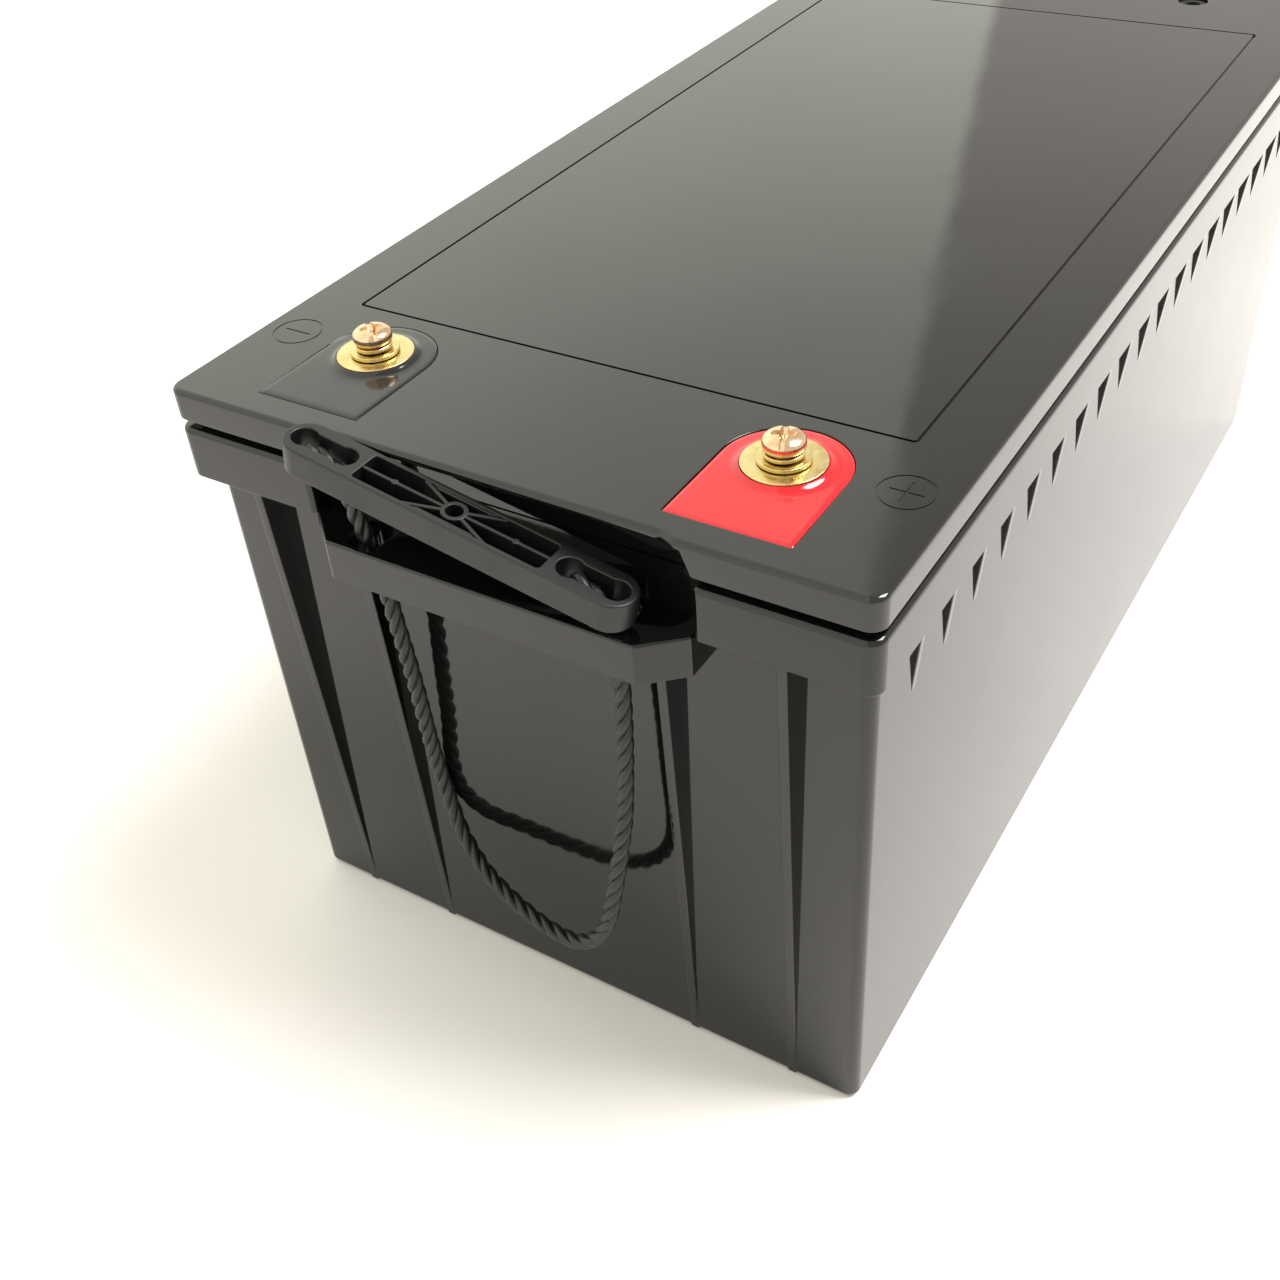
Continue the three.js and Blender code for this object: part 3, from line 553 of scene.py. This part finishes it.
def plated(name, base, tint, low, high, bump=0.000003):
    """Yellow-passivated zinc: gold with pinkish and greenish drifts."""
    m = Nodes(name)
    m.set(Metallic=1.0)
    m.link(m.ramp(m.noise(210, 5, 0.65, 0.8), [(0.3, base), (0.72, tint)]), m.shader.inputs["Base Color"])
    m.link(m.spread(m.noise(520, 4, 0.6), 0.3, 0.75, low, high), m.shader.inputs["Roughness"])
    m.link(m.bump(m.noise(1900, 3, 0.6), bump), m.shader.inputs["Normal"])
    return m.material


def metal(name, base, low, high, stretch=(1, 1, 1), scale=500):
    m = Nodes(name)
    m.set(Metallic=1.0)
    lighter = tuple(min(1, c * 1.2) for c in base)
    tone = m.ramp(m.noise(scale, 4, 0.6, 0, stretch), [(0.3, base), (0.7, lighter)])
    m.link(tone, m.shader.inputs["Base Color"])
    rough = m.spread(m.noise(scale * 1.7, 3, 0.6, 0, stretch), 0.3, 0.7, low, high)
    m.link(rough, m.shader.inputs["Roughness"])
    m.link(m.bump(m.noise(scale * 3, 2, 0.5, 0, stretch), 0.000008), m.shader.inputs["Normal"])
    return m.material


def rope_fibre(name):
    """Black polypropylene yarn with short fibre streaks."""
    m = Nodes(name)
    streak = m.noise(2600, 3, 0.6, 0.2, (1, 1, 0.35))
    tone = m.ramp(streak, [(0.3, (0.0015, 0.0015, 0.0017)), (0.8, (0.006, 0.006, 0.0065))])
    m.link(tone, m.shader.inputs["Base Color"])
    m.link(m.spread(streak, 0.3, 0.7, 0.3, 0.5), m.shader.inputs["Roughness"])
    m.link(m.bump(streak, 0.00008), m.shader.inputs["Normal"])
    m.set(Sheen_Weight=0.04, Sheen_Roughness=0.4)
    return m.material


def matt(name, colour, scale, height, low=0.55, high=0.85):
    m = Nodes(name)
    speck = m.noise(scale, 5, 0.65)
    lighter = tuple(min(1, c * 1.45 + 0.004) for c in colour)
    m.link(m.ramp(speck, [(0.3, colour), (0.75, lighter)]), m.shader.inputs["Base Color"])
    m.link(m.spread(speck, 0.3, 0.7, low, high), m.shader.inputs["Roughness"])
    m.link(m.bump(m.noise(scale * 2.5, 3, 0.6), height), m.shader.inputs["Normal"])
    return m.material


def give(obj, material):
    obj.data.materials.clear()
    obj.data.materials.append(material)


def settle(obj, material, body, slot, *nodes):
    """Gives a new piece its material, the body it rides on and the CAD nodes it stands for."""
    give(obj, material)
    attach(obj, body)
    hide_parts(*nodes)
    return obj


CASE_BLACK = gloss_black("case_black", 0.035, 0.13, 1.49)
LID_BLACK = gloss_black("lid_black", 0.02, 0.14, 1.56)
GRIP_BLACK = satin_plastic("grip_black", (0.004, 0.004, 0.0043), 0.36, 0.5)
ROPE_BLACK = rope_fibre("rope_black")

# ---------------------------------------------------------------- the ropes, first of the pieces
for end, route in (("front", front_route()), ("rear", rear_route())):
    rope, line, length = make_rope(f"{end}_rope_laid", route)
    settle(rope, ROPE_BLACK, f"{end}_handle", "rope", f"{end}_rope")


# ---------------------------------------------------------------- case
def notched(half_x, half_y, corner, notch_x, notch_half, mouth_half=None, r_out=1.2, r_in=1.5):
    """A rectangle with a notch in the middle of each end, open outwards."""
    mouth = notch_half if mouth_half is None else mouth_half
    right = [
        (half_x, -half_y, corner), (half_x, -mouth, r_out), (notch_x, -notch_half, r_in),
        (notch_x, notch_half, r_in), (half_x, mouth, r_out), (half_x, half_y, corner),
    ]
    left = [(-x, -y, r) for x, y, r in right]
    return right + left


def tapered_rib(depth_at, z_low, z_high, thick):
    """A rib on the -X wall; depth_at gives how far it stands out of the wall at a height."""
    rings = []
    for z in np.linspace(z_low, z_high, 9):
        reach = depth_at(z)
        shape = outline([
            (-WALL_X - reach, -thick / 2, 0.35), (-WALL_X + 1, -thick / 2, 0),
            (-WALL_X + 1, thick / 2, 0), (-WALL_X - reach, thick / 2, 0.35),
        ], 3)
        rings.append(ring_at(shape, float(z)))
    return loft(rings)


def end_rib(y):
    depth_at = lambda z: RIB_DEPTH * (z - RIB_FOOT) / (RIM_BOTTOM - RIB_FOOT)
    top = LEDGE_BOTTOM + 2 if abs(y) < NOTCH_HALF else RIM_BOTTOM + 2
    rib = tapered_rib(lambda z: max(depth_at(z), -0.6), RIB_FOOT - 0.8, top, RIB_THICK)
    return moved(rib, Matrix.Translation((0, y * MM, 0)))


def gusset(x):
    """A short fin under the rim, on the -Y wall."""
    span = RIM_BOTTOM - GUSSET_FOOT
    depth_at = lambda z: max(GUSSET_DEPTH * (z - GUSSET_FOOT) / span, -0.6)
    fin = tapered_rib(depth_at, GUSSET_FOOT - 3, RIM_BOTTOM + 2, GUSSET_THICK)
    shift = Matrix.Translation(((WALL_X - WALL_Y) * MM, 0, 0))
    place = Matrix.Translation((x * MM, 0, 0))
    return moved(fin, place @ Matrix.Rotation(math.pi / 2, 4, "Z") @ shift)


def make_ledge():
    shape = outline([
        (-LEDGE_FRONT, -LEDGE_FRONT_HALF, 1.8), (-RIM_X, -NOTCH_HALF, 1.2), (-WALL_X + 1.5, -NOTCH_HALF, 0),
        (-WALL_X + 1.5, NOTCH_HALF, 0), (-RIM_X, NOTCH_HALF, 1.2), (-LEDGE_FRONT, LEDGE_FRONT_HALF, 1.8),
    ], 5)
    return prism(shape, LEDGE_BOTTOM, LEDGE_TOP, 0.5, 0.9)


def rope_slot(side):
    shape = outline(rectangle(SLOT_LONG / 2, SLOT_WIDE / 2, 2), 5)
    return flared_cutter(shape, LEDGE_BOTTOM - 2, LEDGE_TOP, 0.4, -SLOT_X, side * SLOT_Y)


def make_case():
    body = prism(outline(rectangle(WALL_X, WALL_Y, CORNER), 10), 0, RIM_TOP - 0.4, 3.0, 0)
    band_shape = outline(notched(RIM_X, RIM_Y, CORNER + 1, WALL_X - 0.4, NOTCH_HALF, None, 2.4), 10)
    band = prism(band_shape, RIM_BOTTOM, RIM_TOP, 0.5, 2.0)
    small = [end_rib(y) for y in RIB_YS]
    small += [moved(end_rib(y), HALF_TURN) for y in RIB_YS]
    for i in range(GUSSETS):
        x = (i - (GUSSETS - 1) / 2) * GUSSET_PITCH
        small += both_ends(gusset(x))
    slots = [rope_slot(side) for side in (-1, 1)] + [moved(rope_slot(side), HALF_TURN) for side in (-1, 1)]
    cavity_shape = outline(rectangle(WALL_X - WALL, WALL_Y - WALL, CORNER - WALL), 6)
    cavity = prism(cavity_shape, FLOOR, RIM_TOP + 3)
    mesh = combined(body, [
        ("UNION", band),
        ("UNION", joined(small)),
        ("UNION", joined(both_ends(make_ledge()))),
        ("DIFFERENCE", joined(slots)),
        ("DIFFERENCE", cavity),
    ])
    return place_mesh("case_shell", mesh)


case = settle(make_case(), CASE_BLACK, "battery", "abs_case", "case")
flat_faces_first(case)


# ---------------------------------------------------------------- lid
def well_shape(grow=0.0):
    """Square towards the end of the case, a half circle towards its middle, about the terminal."""
    r = WELL_R + grow
    points = [((-WELL_END - grow, r), (-1.0, 1.0)), ((-WELL_END - grow, -r), (-1.0, -1.0))]
    for s in range(33):
        a = -math.pi / 2 + math.pi * s / 32
        points.append(((r * math.cos(a), r * math.sin(a)), (math.cos(a), math.sin(a))))
    return points


def circle(radius, segments=48):
    turns = [2 * math.pi * s / segments for s in range(segments)]
    return [((radius * math.cos(a), radius * math.sin(a)), (math.cos(a), math.sin(a))) for a in turns]


def lid_skirt():
    """The lid's wall, up to the underside of its top sheet. Its notches widen downwards."""
    half_at = lambda z: LID_NOTCH_HALF + (NOTCH_HALF - LID_NOTCH_HALF) * (LID_TOP - z) / (LID_TOP - RIM_TOP)
    rings = []
    lower_edge = ((SKIRT_BOTTOM, 0.5), (SKIRT_BOTTOM + 0.15, 0.15), (SKIRT_BOTTOM + 0.5, 0.0))
    for z, inset in (*lower_edge, (SHEET_UNDER + 0.4, 0.0)):
        shape = outline(notched(RIM_X, RIM_Y, CORNER + 1, WALL_X, half_at(z), None, 2.5, 1.5), 10)
        rings.append(ring_at(shape, z, inset))
    return loft(rings)


def lid_plate():
    """The top sheet. Its edge eases back where it passes over the notches."""
    set_back = RIM_X - LID_EDGE_BACK
    mouth, inner = LID_NOTCH_HALF + 1, LID_NOTCH_HALF - 4
    shape = outline(notched(RIM_X, RIM_Y, CORNER + 1, set_back, inner, mouth, 6, 6), 10)
    return prism(shape, SHEET_UNDER, LID_TOP, 0.3, LID_EDGE_ROUND, steps=7)


def panel_groove():
    depth, half = 0.8, 0.5
    outer = outline(rectangle(PANEL_X + half, PANEL_Y + half, 1.6), 5)
    inner = outline(rectangle(PANEL_X - half, PANEL_Y - half, 0.8), 5)
    z0, z1 = LID_TOP - depth, LID_TOP + 1
    return loft([ring_at(outer, z0), ring_at(outer, z1), ring_at(inner, z1), ring_at(inner, z0)], wrap=True)


def polarity_mark(side):
    z0, z1, line = LID_TOP - 0.2, LID_TOP + 1, 0.55
    circle_line = revolve(
        [(MARK_R - line, z0), (MARK_R, z0), (MARK_R, z1), (MARK_R - line, z1)],
        48, True, MARK_X, side * MARK_Y,
    )
    bars = [(line / 2, 5.0)] + ([(5.0, line / 2)] if side < 0 else [])
    strokes = []
    for half_x, half_y in bars:
        strokes.append(prism(outline(rectangle(half_x, half_y, 0.2), 4), z0, z1, 0, 0, MARK_X, side * MARK_Y))
    return [circle_line, *strokes]


def make_lid():
    neck_shape = outline(notched(RIM_X - 3.7, RIM_Y - 3.7, 5, WALL_X, NOTCH_HALF - 0.5), 8)
    neck = prism(neck_shape, RIM_TOP + 0.3, SKIRT_BOTTOM + 0.8)
    hollow_shape = outline(rectangle(WALL_X - WALL, WALL_Y - WALL, CORNER - WALL), 6)
    hollow = prism(hollow_shape, RIM_TOP - 3, LID_TOP - LID_SHEET)
    cups, wells, bores = [], [], []
    for side in (-1, 1):
        y = side * TERMINAL_Y
        cups.append(prism(well_shape(2.5), WELL_FLOOR - 2.5, LID_TOP - 1, 0, 0, TERMINAL_X, y))
        wells.append(flared_cutter(well_shape(), WELL_FLOOR, LID_TOP, 0.3, TERMINAL_X, y))
        bores.append(prism(circle(BUSH_R + 0.3), 200, LID_TOP - 2, 0, 0, TERMINAL_X, y))
    cups.append(prism(circle(VENT_R + 3), LID_TOP - VENT_DEPTH - 2.5, LID_TOP - 1, 0, 0, VENT_X, VENT_Y))
    vent = flared_cutter(circle(VENT_R), LID_TOP - VENT_DEPTH, LID_TOP, 0.4, VENT_X, VENT_Y)
    steps = [("UNION", neck), ("DIFFERENCE", hollow), ("UNION", joined(cups)), ("DIFFERENCE", joined(wells))]
    steps += [("DIFFERENCE", joined(bores)), ("DIFFERENCE", vent), ("DIFFERENCE", panel_groove())]
    steps += [("DIFFERENCE", stroke) for side in (-1, 1) for stroke in polarity_mark(side)]
    return place_mesh("lid_shell", combined(lid_skirt(), [("UNION", lid_plate()), *steps]))


lid = settle(make_lid(), LID_BLACK, "battery", "abs_case", "lid")
flat_faces_first(lid)


# ---------------------------------------------------------------- wells, washers and bolts
def make_fill(name, side, proud):
    """Poured resin: nearly flush, creeping up round the bush, with a rounded edge at the well's wall."""
    x0, y0 = TERMINAL_X, side * TERMINAL_Y
    edge = well_shape(-0.25)
    dense = []
    for (a, _), (b, _) in zip(edge, edge[1:] + edge[:1]):
        gap = math.dist(a, b)
        count = max(1, int(gap / 1.2))
        for s in range(count):
            t = s / count
            dense.append((a[0] + (b[0] - a[0]) * t, a[1] + (b[1] - a[1]) * t))
    rings = []
    inner_r = BUSH_R + 0.35
    top = LID_TOP + proud

    def height(r, to_edge):
        if r < WASHER_R:
            return LID_TOP + 0.3
        past = r - WASHER_R
        creep = 0.95 * math.exp(-((past / 1.25) ** 2)) + 0.2 * math.exp(-((past / 3.5) ** 2))
        droop = -0.35 * math.exp(-to_edge / 0.45)
        return top + creep + droop

    def round_ring(r, z):
        return [(r * px / math.hypot(px, py), r * py / math.hypot(px, py), z) for px, py in dense]

    rings.append(round_ring(inner_r, WELL_FLOOR + 0.3))
    for r in (inner_r, WASHER_R - 0.05):
        rings.append(round_ring(r, height(r, 9)))
    for t in (0, 0.03, 0.07, 0.12, 0.18, 0.25, 0.33, 0.42, 0.52, 0.64, 0.76, 0.86, 0.93, 0.975, 1.0):
        ring = []
        for px, py in dense:
            far = math.hypot(px, py)
            r = WASHER_R + (far - WASHER_R) * t
            ring.append((r * px / far, r * py / far, height(r, far - r)))
        rings.append(ring)
    rings.append([(px, py, WELL_FLOOR + 0.3) for px, py in dense])
    rings = [[(x0 + px, y0 + py, pz) for px, py, pz in ring] for ring in rings]
    bm = loft(rings, wrap=True)
    bmesh.ops.recalc_face_normals(bm, faces=bm.faces)
    return finish_mesh(name, bm, math.radians(50))


def washer_profile(outer, inner, z, thick, edge=0.25):
    """A punched washer: rounded on its upper rim, crisp below."""
    points = [(inner, z), (outer - 0.1, z), (outer, z + 0.12)]
    for s in range(5):
        a = math.pi / 2 * s / 4
        points.append((outer - edge * (1 - math.cos(a)), z + thick - edge * (1 - math.sin(a))))
    for s in range(5):
        a = math.pi / 2 * s / 4
        points.append((inner + edge * (1 - math.sin(a)), z + thick - edge * (1 - math.cos(a))))
    return points


def make_spring(name, x, y, z):
    """A split ring, its two ends a little apart in height."""
    inner, outer, thick, steps = 3.25, 5.75, 1.15, 60
    rise = 1.0
    bm = bmesh.new()
    rows = []
    c = 0.18
    section = [
        (inner + c, 0), (outer - c, 0), (outer, c), (outer, thick - c),
        (outer - c, thick), (inner + c, thick), (inner, thick - c), (inner, c),
    ]
    for i in range(steps + 1):
        a = 0.1 + (2 * math.pi - 0.2) * i / steps + 2.2
        lift = rise * i / steps
        row = []
        for r, h in section:
            at = (x + r * math.cos(a), y + r * math.sin(a), z + lift + h)
            row.append(bm.verts.new(tuple(c * MM for c in at)))
        rows.append(row)
    for a, b in zip(rows, rows[1:]):
        for k in range(len(section)):
            m = (k + 1) % len(section)
            bm.faces.new((a[k], b[k], b[m], a[m]))
    bm.faces.new(rows[0])
    bm.faces.new(rows[-1][::-1])
    bmesh.ops.recalc_face_normals(bm, faces=bm.faces)
    return finish_mesh(name, bm, math.radians(40))


def make_bolt(name, x, y, seat, end, turn):
    """Pan-head screw with a cross recess and a slot across it."""
    head, rim, dome = 6.15, 2.0, 2.4
    profile = [(0, end), (2.2, end), (2.7, end + 0.7), (2.7, seat)]
    profile += [(head - 0.5, seat), (head - 0.12, seat + 0.15), (head, seat + 0.5), (head, seat + rim)]
    for s in range(1, 13):
        a = math.pi / 2 * s / 12
        profile.append((head * math.cos(a) ** 0.82 if s < 12 else 0, seat + rim + dome * math.sin(a)))
    body = revolve(profile, 72)
    top = seat + rim + dome
    wings = []
    for quarter in (0, 1):
        rings = []
        for down, reach, half in ((2.7, 1.2, 0.6), (2.2, 2.1, 0.75), (0.9, 3.2, 1.0), (-0.6, 4.2, 1.3)):
            rings.append(ring_at(outline(rectangle(reach, half, half * 0.6), 4), top - down))
        wing = loft(rings)
        wings.append(moved(wing, Matrix.Rotation(math.pi / 2 * quarter, 4, "Z")))
    slot = prism(outline(rectangle(8, 0.75, 0)), top - 2.0, top + 1)
    place = Matrix.Rotation(turn, 4, "Z")
    cutters = [moved(tool, place) for tool in (*wings, slot)]
    mesh = combined(body, [("DIFFERENCE", tool) for tool in cutters])
    bolt = place_mesh(name, mesh, math.radians(32))
    bolt.data.transform(Matrix.Translation((x * MM, y * MM, 0)))
    return bolt


GOLD = plated("yellow_zinc", (0.6, 0.45, 0.17), (0.74, 0.62, 0.33), 0.2, 0.36)
ROSE = plated("yellow_zinc_rose", (0.66, 0.4, 0.24), (0.8, 0.64, 0.42), 0.1, 0.24)
RED_RESIN = resin("red_resin", (0.4, 0.006, 0.01), (0.46, 0.009, 0.014))
BLACK_RESIN = resin("black_resin", (0.004, 0.004, 0.0042), (0.007, 0.007, 0.0072), 0.06, 0.14)

for word, side, material, proud, turn in (
    ("positive", -1, RED_RESIN, 0.0, 0.35), ("negative", 1, BLACK_RESIN, 0.22, 0.95),
):
    x, y = TERMINAL_X, side * TERMINAL_Y
    sign = "red_resin" if side < 0 else "black_resin"
    settle(make_fill(f"{word}_resin", side, proud), material, "battery", sign, f"{word}_well_fill")
    flat_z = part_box(f"{word}_flat_washer")[0].z / MM
    small_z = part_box(f"{word}_small_washer")[0].z / MM
    spring_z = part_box(f"{word}_spring_washer")[0].z / MM
    lo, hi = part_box(f"{word}_bolt")
    wide = revolve(washer_profile(12.2, 3.2, flat_z, 1.1), 96, True, x, y)
    flat = finish_mesh(f"{word}_wide_washer", wide)
    settle(flat, GOLD, "battery", "zinc_hardware", f"{word}_flat_washer")
    narrow = revolve(washer_profile(7.75, 3.2, small_z, 1.2), 72, True, x, y)
    small = finish_mesh(f"{word}_narrow_washer", narrow)
    settle(small, GOLD, f"{word}_washers", "zinc_hardware", f"{word}_small_washer")
    spring = make_spring(f"{word}_split_washer", x, y, spring_z)
    settle(spring, GOLD, f"{word}_washers", "zinc_hardware", f"{word}_spring_washer")
    bolt = make_bolt(f"{word}_screw_part", x, y, hi.z / MM - 4.4, lo.z / MM, turn)
    settle(bolt, ROSE, f"{word}_screw", "zinc_hardware", f"{word}_bolt")


# ---------------------------------------------------------------- grips
def capsule(half_long, radius, segments=16):
    """Outline of a bar with round ends, along X."""
    shape = []
    for start, middle in ((-math.pi / 2, half_long - radius), (math.pi / 2, -half_long + radius)):
        for s in range(segments + 1):
            a = start + math.pi * s / segments
            out = (math.cos(a), math.sin(a))
            shape.append(((middle + radius * out[0], radius * out[1]), out))
    return shape


def dumbbell(segments=14):
    """Outline of two round holes joined by a neck, along X from HOLE_IN to HOLE_OUT."""
    open_angle = math.asin(NECK / 2 / HOLE_R)
    shape = []
    for centre, start in ((HOLE_OUT, -math.pi + open_angle), (HOLE_IN, open_angle)):
        for s in range(segments * 2 + 1):
            a = start + (2 * math.pi - 2 * open_angle) * s / (segments * 2)
            normal = (math.cos(a), math.sin(a))
            shape.append(((centre + HOLE_R * normal[0], HOLE_R * normal[1]), normal))
    return shape


def make_grip(name, grip):
    bar = prism(capsule(GRIP_LONG / 2, GRIP_WIDE / 2), -GRIP_TALL, 0, 0.9, 0.7)
    pocket_end = HOLE_IN - HOLE_R - 2.6
    inside = GRIP_WIDE / 2 - 1.7
    pocket = flared_cutter(outline(rectangle(pocket_end, inside, 1.2), 5), -GRIP_TALL + 2.2, 0, 0.35)
    ribs = []
    lean = math.atan2(inside, 13.5)
    low, high = -GRIP_TALL + 1.4, -0.35
    ribs.append(prism(outline(rectangle(pocket_end + 0.6, 0.55, 0)), low, high, 0, 0.3))
    for turn in (lean, -lean):
        rib = prism(outline(rectangle(math.hypot(inside, 13.5) + 0.6, 0.6, 0)), low, high, 0, 0.3)
        ribs.append(moved(rib, Matrix.Rotation(turn, 4, "Z")))
    for side in (-1, 1):
        ribs.append(prism(circle(1.1, 20), low, high + 0.05, 0, 0.3, side * 20.5))
        near, far = side * (inside - 0.9), side * (inside + 0.5)
        corners = [(-9, near, 0.6), (9, near, 0.6), (12.5, far, 0.2), (-12.5, far, 0.2)]
        ribs.append(prism(outline(corners[::side], 4), low, high, 0, 0.3))
    ribs.append(prism(circle(4.0, 40), low, high + 0.1, 0, 0.3))
    slot_low = -GRIP_TALL - 1
    slots = []
    for turn in (0, math.pi):
        slots.append(moved(flared_cutter(dumbbell(), slot_low, 0, 0.45), Matrix.Rotation(turn, 4, "Z")))
    centre = flared_cutter(circle(2.6, 32), -GRIP_TALL + 2.2, high + 0.1, 0.2)
    steps = [("DIFFERENCE", pocket)] + [("UNION", rib) for rib in ribs]
    steps += [("DIFFERENCE", joined(slots)), ("DIFFERENCE", centre)]
    obj = place_mesh(name, combined(bar, steps), math.radians(32))
    x, y, z, tilt = grip
    place = Matrix.Translation((x * MM, y * MM, z * MM))
    tilted = Matrix.Rotation(math.radians(tilt), 4, "X")
    obj.data.transform(place @ tilted @ Matrix.Rotation(math.pi / 2, 4, "Z"))
    flat_faces_first(obj)
    return obj


for end, grip in (("front", FRONT_GRIP), ("rear", REAR_GRIP)):
    settle(make_grip(f"{end}_grip_bar", grip), GRIP_BLACK, f"{end}_handle", "grip_plastic", f"{end}_grip")

# ---------------------------------------------------------------- CAD nodes that stay
STAY = {
    "brass_bush": metal("bush_brass", (0.66, 0.5, 0.22), 0.25, 0.4),
    "copper_link": metal("link_copper", (0.72, 0.33, 0.18), 0.3, 0.45, (1, 6, 1)),
    "steel": metal("bright_steel", (0.5, 0.5, 0.51), 0.28, 0.42, (1, 1, 5)),
    "aluminium": metal("satin_aluminium", (0.62, 0.63, 0.65), 0.32, 0.48, (1, 5, 1)),
    "cell_can": matt("cell_film", (0.02, 0.09, 0.36), 300, 0.00004, 0.3, 0.45),
    "circuit_board": matt("board_green", (0.01, 0.12, 0.04), 420, 0.00006, 0.35, 0.5),
    "glass_board": matt("glass_cloth", (0.62, 0.58, 0.4), 700, 0.00005),
    "foam": matt("foam_dark", (0.02, 0.02, 0.022), 1100, 0.0003, 0.85, 0.98),
    "rubber_plug": matt("plug_rubber", (0.006, 0.006, 0.006), 600, 0.00006),
    "red_wire": matt("wire_red", (0.5, 0.015, 0.02), 500, 0.00004, 0.4, 0.55),
    "black_wire": matt("wire_black", (0.01, 0.01, 0.01), 500, 0.00004, 0.4, 0.55),
    "grey_wire": matt("loom_grey", (0.16, 0.165, 0.17), 800, 0.00008, 0.5, 0.7),
    "zinc_hardware": GOLD,
    "grip_plastic": GRIP_BLACK,
    "rope": ROPE_BLACK,
    "abs_case": CASE_BLACK,
    "red_resin": RED_RESIN,
    "black_resin": BLACK_RESIN,
}
for row in frame["record"]["subparts"]:
    give(frame["nodes"][row["node"]], STAY[row["material_slot"]])


# ---------------------------------------------------------------- floor and light
def make_floor():
    bm = bmesh.new()
    reach = 4.0
    bmesh.ops.create_grid(bm, x_segments=2, y_segments=2, size=reach)
    floor = finish_mesh("floor", bm)
    m = Nodes("floor_white")
    tone = m.ramp(m.noise(3.5, 3, 0.5), [(0.35, (0.825, 0.79, 0.765)), (0.7, (0.87, 0.84, 0.82))])
    m.link(tone, m.shader.inputs["Base Color"])
    m.link(m.spread(m.noise(40, 3, 0.5), 0.3, 0.7, 0.75, 0.9), m.shader.inputs["Roughness"])
    m.set(IOR=1.3)
    give(floor, m.material)


def area_light(name, at, towards, size, power):
    data = bpy.data.lights.new(name, "AREA")
    data.shape = "RECTANGLE"
    data.size, data.size_y = size
    data.energy = power
    lamp = bpy.data.objects.new(name, data)
    aim = (Vector(towards) - Vector(at)).to_track_quat("-Z", "Y")
    lamp.matrix_world = Matrix.Translation(at) @ aim.to_matrix().to_4x4()
    scene.collection.objects.link(lamp)


WALL_EDGE = (-0.2932, 0.9469, -0.1320)  # points from the dim side to the bright side
ROOM_DIM = (0.92, 0.87, 0.81)
ROOM_BRIGHT = (1.6, 1.62, 1.42)


def make_world():
    """Soft surroundings, with a brighter wall beyond one upright edge that the lid mirrors."""
    world = bpy.data.worlds.new("studio")
    scene.world = world
    world.use_nodes = True
    tree = world.node_tree
    background = tree.nodes["Background"]
    place = tree.nodes.new("ShaderNodeTexCoord").outputs["Generated"]

    edge = tree.nodes.new("ShaderNodeVectorMath")
    edge.operation = "DOT_PRODUCT"
    edge.inputs[1].default_value = WALL_EDGE
    tree.links.new(place, edge.inputs[0])
    step = tree.nodes.new("ShaderNodeMapRange")
    step.interpolation_type = "SMOOTHSTEP"
    step.inputs["From Min"].default_value = -0.004
    step.inputs["From Max"].default_value = 0.006
    tree.links.new(edge.outputs["Value"], step.inputs["Value"])

    drift = tree.nodes.new("ShaderNodeTexNoise")
    drift.inputs["Scale"].default_value = 1.6
    drift.inputs["Detail"].default_value = 2
    tree.links.new(place, drift.inputs["Vector"])
    amount = tree.nodes.new("ShaderNodeMapRange")
    amount.inputs["From Min"].default_value = 0.3
    amount.inputs["From Max"].default_value = 0.7
    amount.inputs["To Min"].default_value = 0.85
    amount.inputs["To Max"].default_value = 1.15
    tree.links.new(drift.outputs["Fac"], amount.inputs["Value"])

    mix = tree.nodes.new("ShaderNodeMix")
    mix.data_type = "RGBA"
    mix.inputs["A"].default_value = (*ROOM_DIM, 1)
    mix.inputs["B"].default_value = (*ROOM_BRIGHT, 1)
    tree.links.new(step.outputs["Result"], mix.inputs["Factor"])
    tree.links.new(mix.outputs["Result"], background.inputs["Color"])
    tree.links.new(amount.outputs["Result"], background.inputs["Strength"])


make_floor()
make_world()
area_light("key", (0.65, -1.1, 2.1), (0, 0, 0.1), (1.2, 1.2), 92)
scene.view_settings.view_transform = "Standard"
scene.view_settings.look = "None"
